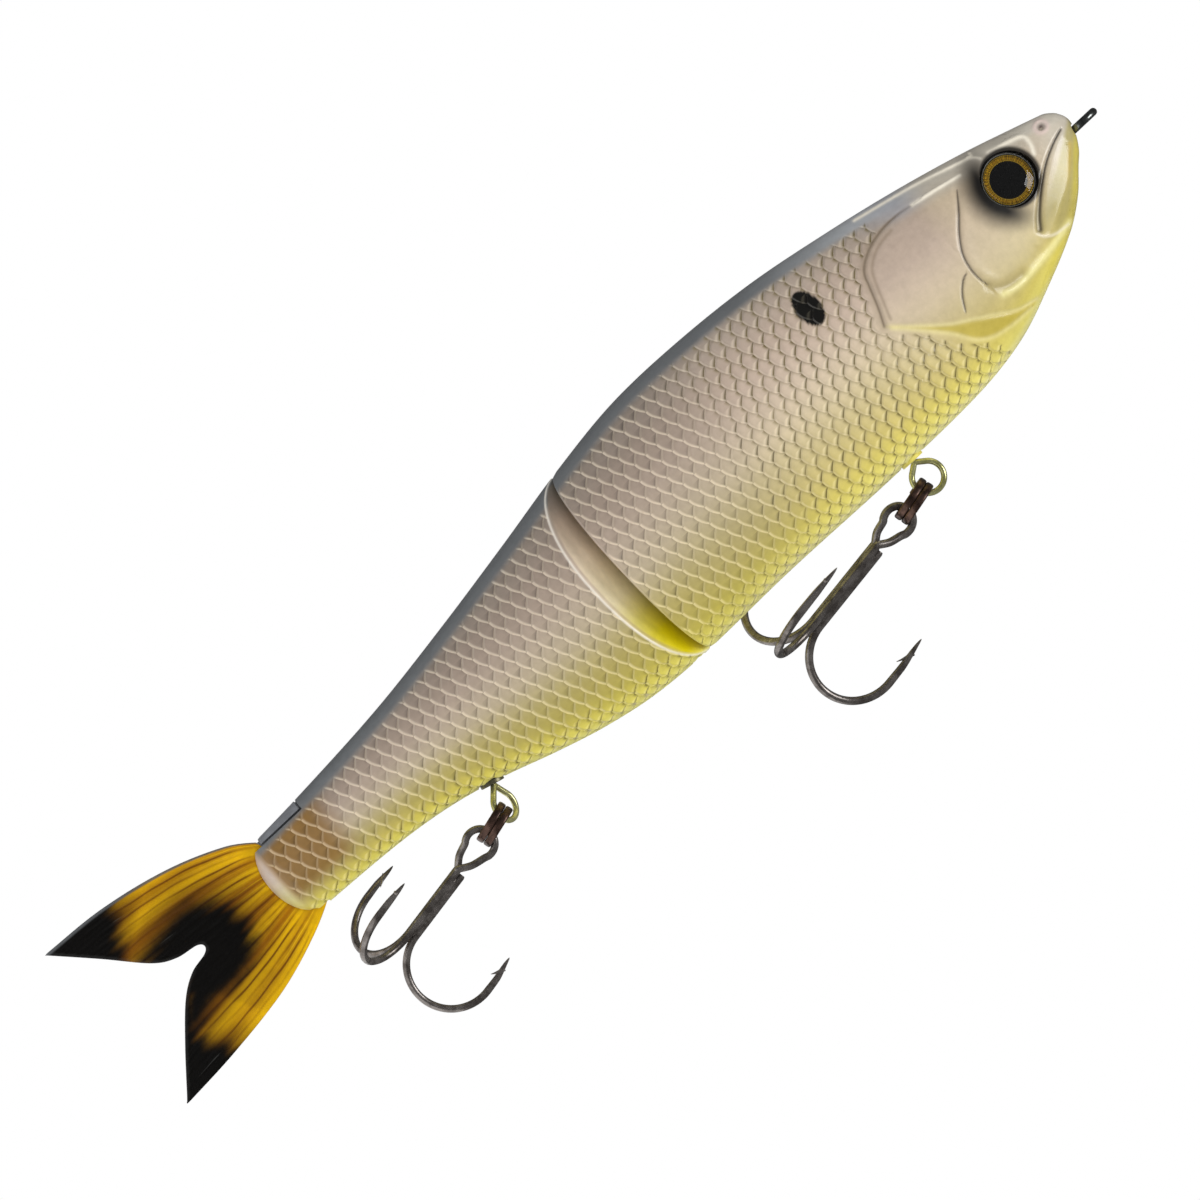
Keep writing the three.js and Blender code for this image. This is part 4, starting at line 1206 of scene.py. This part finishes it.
# ---------------------------------------------------------------- materials
class Look:
    """A new material, and what makes its nodes."""

    def __init__(self, name):
        self.made = bpy.data.materials.new(name)
        self.made.use_nodes = True
        self.nodes, self.link = self.made.node_tree.nodes, self.made.node_tree.links.new
        self.shader = self.nodes["Principled BSDF"]

    def give(self, node, inputs):
        """Links or sets inputs of a node, each found by its name or number."""
        for key, value in inputs.items():
            socket = node.inputs[key]
            if isinstance(value, Term):
                self.link(value.socket, socket)
            elif isinstance(value, bpy.types.NodeSocket):
                self.link(value, socket)
            elif isinstance(value, np.ndarray):
                socket.default_value = (*value, 1)
            else:
                socket.default_value = value

    def node(self, kind, inputs=(), **settings):
        made = self.nodes.new("ShaderNode" + kind)
        for name, value in settings.items():
            setattr(made, name, value)
        self.give(made, dict(inputs))
        return made

    def value(self, name):
        return Term(self, self.node("Attribute", attribute_name=name).outputs["Fac"])

    def colour(self, name):
        return self.node("Attribute", attribute_name=name).outputs["Color"]

    def noise(self, scale, detail=4.0, rough=0.5):
        """Noise in the object's own space; scale is in features per mm."""
        space = self.node("TexCoord").outputs["Object"]
        inputs = {"Scale": scale / MM, "Detail": detail, "Roughness": rough, "Vector": space}
        return Term(self, self.node("TexNoise", inputs).outputs["Fac"])

    def ranged(self, value, low, high, from_low=0.3, from_high=0.7):
        inputs = {"Value": value, "From Min": from_low, "From Max": from_high, "To Min": low, "To Max": high}
        return Term(self, self.node("MapRange", inputs).outputs["Result"])

    def times(self, colour, factor):
        """A colour made lighter or darker by a factor."""
        return self.node("VectorMath", {0: colour, "Scale": factor}, operation="SCALE").outputs["Vector"]

    def mix(self, factor, a, b):
        """Colour a where factor is 0 and b where it is 1."""
        made = self.node("Mix", {0: factor}, data_type="RGBA")
        first, second = (i for i, socket in enumerate(made.inputs) if socket.type == "RGBA")
        self.give(made, {first: a, second: b})
        return next(socket for socket in made.outputs if socket.type == "RGBA")

    def finished(self, inputs, height, strength, depth):
        """The material, with its shader's inputs set and bumps that are depth mm high."""
        bumps = self.node("Bump", {"Strength": strength, "Distance": depth * MM, "Height": height})
        self.give(self.shader, {**inputs, "Normal": bumps.outputs["Normal"]})
        return self.made


class Term(np.lib.mixins.NDArrayOperatorsMixin):
    """A number in a material. Numpy's operators and functions on it make Math nodes, so the formulas
    above also work for each point of a surface that a ray meets."""

    OPERATIONS = {
        np.add: "ADD", np.subtract: "SUBTRACT", np.multiply: "MULTIPLY", np.true_divide: "DIVIDE",
        np.power: "POWER", np.remainder: "FLOORED_MODULO", np.floor: "FLOOR", np.exp: "EXPONENT",
        np.minimum: "MINIMUM", np.maximum: "MAXIMUM", np.less: "LESS_THAN", np.greater: "GREATER_THAN",
        np.sin: "SINE",
    }

    def __init__(self, look, socket):
        self.look, self.socket = look, socket

    def __array_ufunc__(self, ufunc, method, *values):
        if ufunc is np.negative:
            return self * -1
        values = [value if isinstance(value, Term) else float(value) for value in values]
        node = self.look.node("Math", enumerate(values), operation=self.OPERATIONS[ufunc])
        return Term(self.look, node.outputs[0])

    def clip(self, low, high, out=None):
        return np.minimum(np.maximum(self, low), high)


def body_material():
    """Airbrushed paint under a clear coat, over moulded scales with cream edges, part worn paint and part
    painted highlight.
    """
    look = Look("pearl_body_paint")
    back, level, amount = look.value("back"), look.value("level"), look.value("scaled")
    cream, gloss = look.value("cream"), look.value("gloss")
    inward, ahead, upper, upper_ahead, near_apex = scale_pattern(back, level)
    speckle, clouds, fine = look.noise(1.1, 6, 0.6), look.noise(0.22), look.noise(9, 3)
    base = look.times(look.colour("paint"), look.ranged(speckle, 0.94, 1.06))
    base = look.times(base, look.ranged(clouds, 0.96, 1.04))

    front = 1 - cream
    # Dark strokes just behind the edge of the scale ahead: painted shade, the shadow of each scale's step.
    outline = near_apex * (0.10 + 0.50 * front) + (1 - near_apex) * 0.16 * front
    crease = bump(ahead, 0.30) * outline + bump(ahead, 0.85) * upper_ahead * (0.16 + 0.08 * front)
    crease = crease * (1 + (clouds - 0.5) * 3) + 0.22 * cream
    base = look.times(base, 1 - amount * np.minimum(crease, 0.8))
    # Dark yellow-green strokes just behind each edge: the painted shade, tinted.
    olive_shade = bump(ahead - 0.05, 0.38) * front * amount * (1 - gloss) * (0.16 + 0.34 * near_apex)
    base = look.mix(olive_shade, base, linear(126, 112, 58))
    # Pale lines along each scale's rear edge, partly worn cream paint and partly painted highlight, and
    # painted glints on the faces.
    glint = bump(ahead - 0.75, 0.34) * upper_ahead * 0.6 * front
    edge = bump(inward - 0.15, 0.11 + 0.10 * cream) * (1 - 0.62 * upper) * (0.5 + 0.46 * cream)
    edge = amount * np.minimum(edge + glint, 1) * (1 - 0.8 * gloss)
    rubbed_and_highlit = look.times(look.colour("paint"), 1.30 + 0.15 * cream)
    rubbed_and_highlit = look.mix(0.3, rubbed_and_highlit, linear(240, 228, 198))
    height = amount * smooth(0, 0.32, inward) * (1 - inward / SCALE_PITCH) + 0.10 * fine
    return look.finished({
        "Base Color": look.mix(edge, base, rubbed_and_highlit),
        "Roughness": look.ranged(speckle, 0.30, 0.44) - 0.24 * gloss,
        "Coat Weight": 0.35,
        "Coat Roughness": 0.12,
    }, height, 0.6, 0.16)


def metal(name, light, dark, rough, grain=2.5, metallic=1.0):
    """A plated or oxidised wire: two tones, polish marks and a fine grain."""
    look = Look(name)
    patches, fine = look.noise(grain * 0.25, 5, 0.6), look.noise(grain * 5, 4, 0.6)
    return look.finished({
        "Base Color": look.mix(look.ranged(patches, 0, 1, 0.375, 0.625), linear(*dark), linear(*light)),
        "Roughness": look.ranged(fine, rough * 0.75, rough * 1.3),
        "Metallic": metallic,
    }, fine, 0.3, 0.012)


def plastic(name, light, dark, rough):
    look = Look(name)
    patches, fine = look.noise(0.5, 5, 0.6), look.noise(8, 3)
    return look.finished({
        "Base Color": look.mix(look.ranged(patches, 0, 1), linear(*dark), linear(*light)),
        "Roughness": look.ranged(fine, rough * 0.8, rough * 1.2),
        "Coat Weight": 0.3,
        "Coat Roughness": 0.15,
    }, fine, 0.2, 0.015)


def fin_material():
    """Amber plastic with brown lines between the rays, black round the fork and at both tips."""
    look = Look("amber_fin_plastic")
    back, share, ink = look.value("back"), look.value("share"), look.value("ink")
    streak, fine = look.noise(0.8, 5, 0.6), look.noise(9, 3)
    ridge = ray_pattern(back, share)
    fan = smooth(146.5, 149.5, back) * 0.5
    wave = np.sin(share * 83 + np.sin(share * 31) * 1.5 + back * 0.12) * fan + 0.5
    slow = np.sin(share * 37 + back * 0.1 + 1) * fan + 0.5
    ragged = ink + (wave - 0.5) * 0.9 + (slow - 0.5) * 0.5 + (streak - 0.5) * 1.2
    front = smooth(0.50, 0.34, share) * smooth(167, 161, back)
    black = 1 - (1 - smooth(-2.4, 1.4, ragged)) ** 2

    base = look.mix(slow, linear(212, 164, 5), linear(160, 104, 4))
    for cover, colour in (
        (smooth(0.3, 0.06, share) * 0.5 + smooth(0.7, 0.96, share) * 0.3, (208, 164, 8)),
        (smooth(0.80, 1.0, ridge) * wave * 0.6, (224, 180, 22)),
        (smooth(0.45, 0.0, ridge) * (wave * 0.7 + 0.2) * smooth(148, 154, back), (104, 60, 4)),
        (smooth(-8.0, -0.3, ragged) * (0.84 - front * 0.3), (66, 32, 3)),
        (black, (7, 6, 5)),
        # Light grey dashes on the ridge tops in the black: painted glints.
        (smooth(0.985, 1.0, wave) * smooth(0.8, 1.0, ridge) * black * 0.5, (150, 152, 150)),
        (smooth(0.978, 0.992, share) * smooth(146, 149, back) * 0.9, (84, 86, 88)),
    ):
        base = look.mix(cover, base, linear(*colour))
    return look.finished({
        "Base Color": look.times(base, streak * 0.5 + 0.75),
        "Roughness": look.ranged(fine, 0.28, 0.40),
        "Specular IOR Level": 0.14,
        "Coat Weight": 0.08,
        "Coat Roughness": 0.1,
    }, ridge * smooth(150, 153, back), 0.7, 0.12)


def foil_material():
    """A printed metal foil: black pupil, gold iris with fine radial streaks, and a dark bright rim."""
    look = Look("gold_eye_foil")
    radius = look.value("ring")
    place_on_foil = look.node("CombineXYZ", {
        "X": look.ranged(look.value("around"), 0, 110, -0.5, 0.5),
        "Y": look.ranged(radius, 0, 0.8, 0, 1),
    })
    streaks = look.node("TexNoise", {"Scale": 1.6, "Detail": 2, "Vector": place_on_foil.outputs["Vector"]})
    streak = Term(look, streaks.outputs["Fac"])
    iris = look.mix(look.ranged(streak, 0, 1, 0.35, 0.65), linear(96, 52, 4), linear(236, 186, 40))
    iris = look.times(iris, 0.4 + 1.0 * bump(radius - 0.80, 0.06))
    bright = bump(radius - 0.725, 0.014) + bump(radius - 0.905, 0.014) * 0.7
    iris = look.mix(np.minimum(bright, 1), iris, linear(236, 196, 70))
    printed = smooth(0.70, 0.71, radius) * smooth(0.935, 0.925, radius)
    glint = bump(radius - 0.975, 0.012)
    return look.finished({
        "Base Color": look.mix(glint, look.mix(printed, linear(4, 4, 4), iris), linear(170, 170, 160)),
        "Metallic": np.maximum(printed, glint) * 0.85,
        "Roughness": look.ranged(streak, 0.18, 0.34),
        "Specular IOR Level": 0.1,
    }, streak * printed, 0.25, 0.02)


def lens_material():
    """Clear resin: what is behind it shows, with a sharp reflection that grows at the edge."""
    look = Look("clear_lens_resin")
    clear = look.node("BsdfTransparent").outputs["BSDF"]
    haze = look.ranged(look.noise(1.5, 3), 0.02, 0.04)
    gloss = look.node("BsdfGlossy", {"Roughness": haze}).outputs["BSDF"]
    facing = Term(look, look.node("LayerWeight").outputs["Facing"])
    both = look.node("MixShader", {0: facing**4 * 0.6 + 0.04, 1: clear, 2: gloss}).outputs["Shader"]
    look.give(look.nodes["Material Output"], {"Surface": both})
    look.nodes.remove(look.shader)
    return look.made


# ---------------------------------------------------------------- stage, lights and camera
PHOTO_LEAN = math.radians(43.06)  # how far the nose points above the picture's horizontal
VIEW_WIDTH = 163.7
VIEW_CENTRE = (91.46, -0.34)  # back, up
CAMERA_DISTANCE = 1100
FLOOR = dict(drop=0.055, radius=0.26, corners=128, back=91)  # drop and radius are in metres
LIT_BACK = 85


def in_row(back, up):
    """A place on the bait's middle plane, in the row frame."""
    return LURE_TO_ROW @ Vector((back, up, 0))


def make_camera():
    """The camera, and its right, up and backward directions."""
    data = bpy.data.cameras.new("camera")
    camera = bpy.data.objects.new("camera", data)
    bpy.context.scene.collection.objects.link(camera)
    right = Vector((math.sin(PHOTO_LEAN), 0, math.cos(PHOTO_LEAN)))
    up = Vector((-math.cos(PHOTO_LEAN), 0, math.sin(PHOTO_LEAN)))
    toward = right.cross(up)
    turn = Matrix((right, up, toward)).transposed()
    spot = in_row(*VIEW_CENTRE) + toward * CAMERA_DISTANCE * MM
    camera.matrix_world = Matrix.Translation(spot) @ turn.to_4x4()
    data.sensor_width = 36
    data.lens = data.sensor_width * CAMERA_DISTANCE / VIEW_WIDTH
    data.clip_start, data.clip_end = 0.05, 20
    bpy.context.scene.camera = camera
    return right, up, toward


def area_light(name, direction, distance, size, power):
    data = bpy.data.lights.new(name, "AREA")
    data.shape = "RECTANGLE"
    data.size = data.size_y = size
    data.energy = power
    light = bpy.data.objects.new(name, data)
    bpy.context.scene.collection.objects.link(light)
    direction = direction.normalized()
    light.location = in_row(LIT_BACK, 0) + direction * distance
    light.rotation_mode = "QUATERNION"
    light.rotation_quaternion = direction.to_track_quat("Z", "Y")
    return light


def make_floor():
    angle, radius = full_turn(FLOOR["corners"]), FLOOR["radius"]
    x, level = in_row(FLOOR["back"], 0).x + radius * np.cos(angle), cad_box[0].z - FLOOR["drop"]
    disc = np.column_stack([x, radius * np.sin(angle), 0 * angle + level])
    floor = mesh_of("floor", disc, polygons=[list(range(FLOOR["corners"]))])
    look = Look("pale_floor")
    pale = look.mix(look.noise(0.02, 3), linear(240, 240, 240), linear(248, 248, 248))
    look.give(look.shader, {"Base Color": pale, "Roughness": 0.8})
    floor.data.materials.append(look.made)


def make_studio(right, up, toward):
    make_floor()
    world = bpy.data.worlds.new("studio")
    bpy.context.scene.world = world
    world.use_nodes = True
    nodes, links = world.node_tree.nodes, world.node_tree.links
    path = nodes.new("ShaderNodeLightPath")
    shown = nodes["Background"].outputs[0]
    nodes["Background"].inputs["Color"].default_value = (1, 1, 1, 1)
    nodes["Background"].inputs["Strength"].default_value = 0.40
    for ray, strength in (("Is Glossy Ray", 0.12), ("Is Camera Ray", 1.0)):
        other = nodes.new("ShaderNodeBackground")
        other.inputs["Color"].default_value = (1, 1, 1, 1)
        other.inputs["Strength"].default_value = strength
        both = nodes.new("ShaderNodeMixShader")
        links.new(path.outputs[ray], both.inputs[0])
        links.new(shown, both.inputs[1])
        links.new(other.outputs[0], both.inputs[2])
        shown = both.outputs[0]
    links.new(shown, nodes["World Output"].inputs["Surface"])

    area_light("key_box", right + up * 0.35 + toward * 0.55, 0.55, 0.26, 1.2)
    for name, direction, distance, size, power in (
        ("front_fill", toward + right * 0.15 + up * 0.15, 0.9, 0.55, 3.4),
        ("top_box", up * 0.9 - right * 0.7 + toward * 0.35, 0.7, 0.38, 1.5),
        ("belly_box", right * 0.7 - up * 0.9 + toward * 0.35, 0.7, 0.38, 1.2),
        ("back_box", Vector((0.3, 1, 0.5)), 0.7, 0.38, 2.6),
    ):
        area_light(name, direction, distance, size, power).visible_glossy = False
    bpy.context.scene.view_settings.view_transform = "Standard"


# ---------------------------------------------------------------- the bait
directions = make_camera()
make_studio(*directions)

pearl = body_material()
dark_wire = metal("dark_bronze_ring", (106, 82, 72), (60, 46, 40), 0.28, metallic=0.85)
hook_steel = metal("black_nickel_hook", (150, 144, 140), (100, 94, 90), 0.26, metallic=0.85)
bright_wire = metal("bright_hanger_wire", (222, 220, 160), (176, 174, 112), 0.2, metallic=0.8)
tie_steel = metal("line_tie_steel", (150, 154, 152), (96, 100, 98), 0.2)
painted_bushing = metal("painted_over_bushing", (238, 226, 120), (214, 200, 92), 0.36, metallic=0.15)
dark_bushing = metal("dark_brass_bushing", (126, 122, 96), (76, 74, 58), 0.32, metallic=0.7)
lead = metal("cast_ballast", (138, 140, 142), (96, 98, 100), 0.55, grain=1.2)
rail_grey = plastic("grey_rail_paint", (120, 123, 128), (98, 100, 104), 0.34)
plug_plastic = plastic("plug_plastic", (222, 210, 130), (206, 194, 112), 0.4)

make_shells(pearl)
make_eyes(foil_material(), lens_material())
make_fin(fin_material())
make_rail(rail_grey)

place(wire_eye(**TIE), "line_tie_wire", "front_body", tie_steel, "line_tie")
for which, up in zip(("upper", "lower"), HINGE_EYES_UP):
    node = f"hinge_eye_{which}"
    place(wire_eye(up=up, **HINGE_EYE), f"{node}_wire", "front_body", tie_steel, node)

for name, hanger, ring, treble, bushing, shell_body in (
    ("front", FRONT_HANGER, FRONT_RING, FRONT_TREBLE, painted_bushing, "front_body"),
    ("rear", REAR_HANGER, REAR_RING, REAR_TREBLE, dark_bushing, "tail_body"),
):
    make_hanger(name, hanger, bright_wire, bushing, f"{name}_hanger", shell_body)
    seat = seat_of(hanger, ring)
    make_split_ring(name, seat, ring, dark_wire, f"{name}_ring")
    make_treble(name, seat, treble, hook_steel, f"{name}_treble")

for node, finish in (
    ("front_ballast_fore", lead), ("front_ballast_main", lead), ("tail_ballast", lead),
    ("hinge_pin", tie_steel), ("hinge_pin_plug", plug_plastic),
):
    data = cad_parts[node].data
    data.materials.clear()
    data.materials.append(finish)
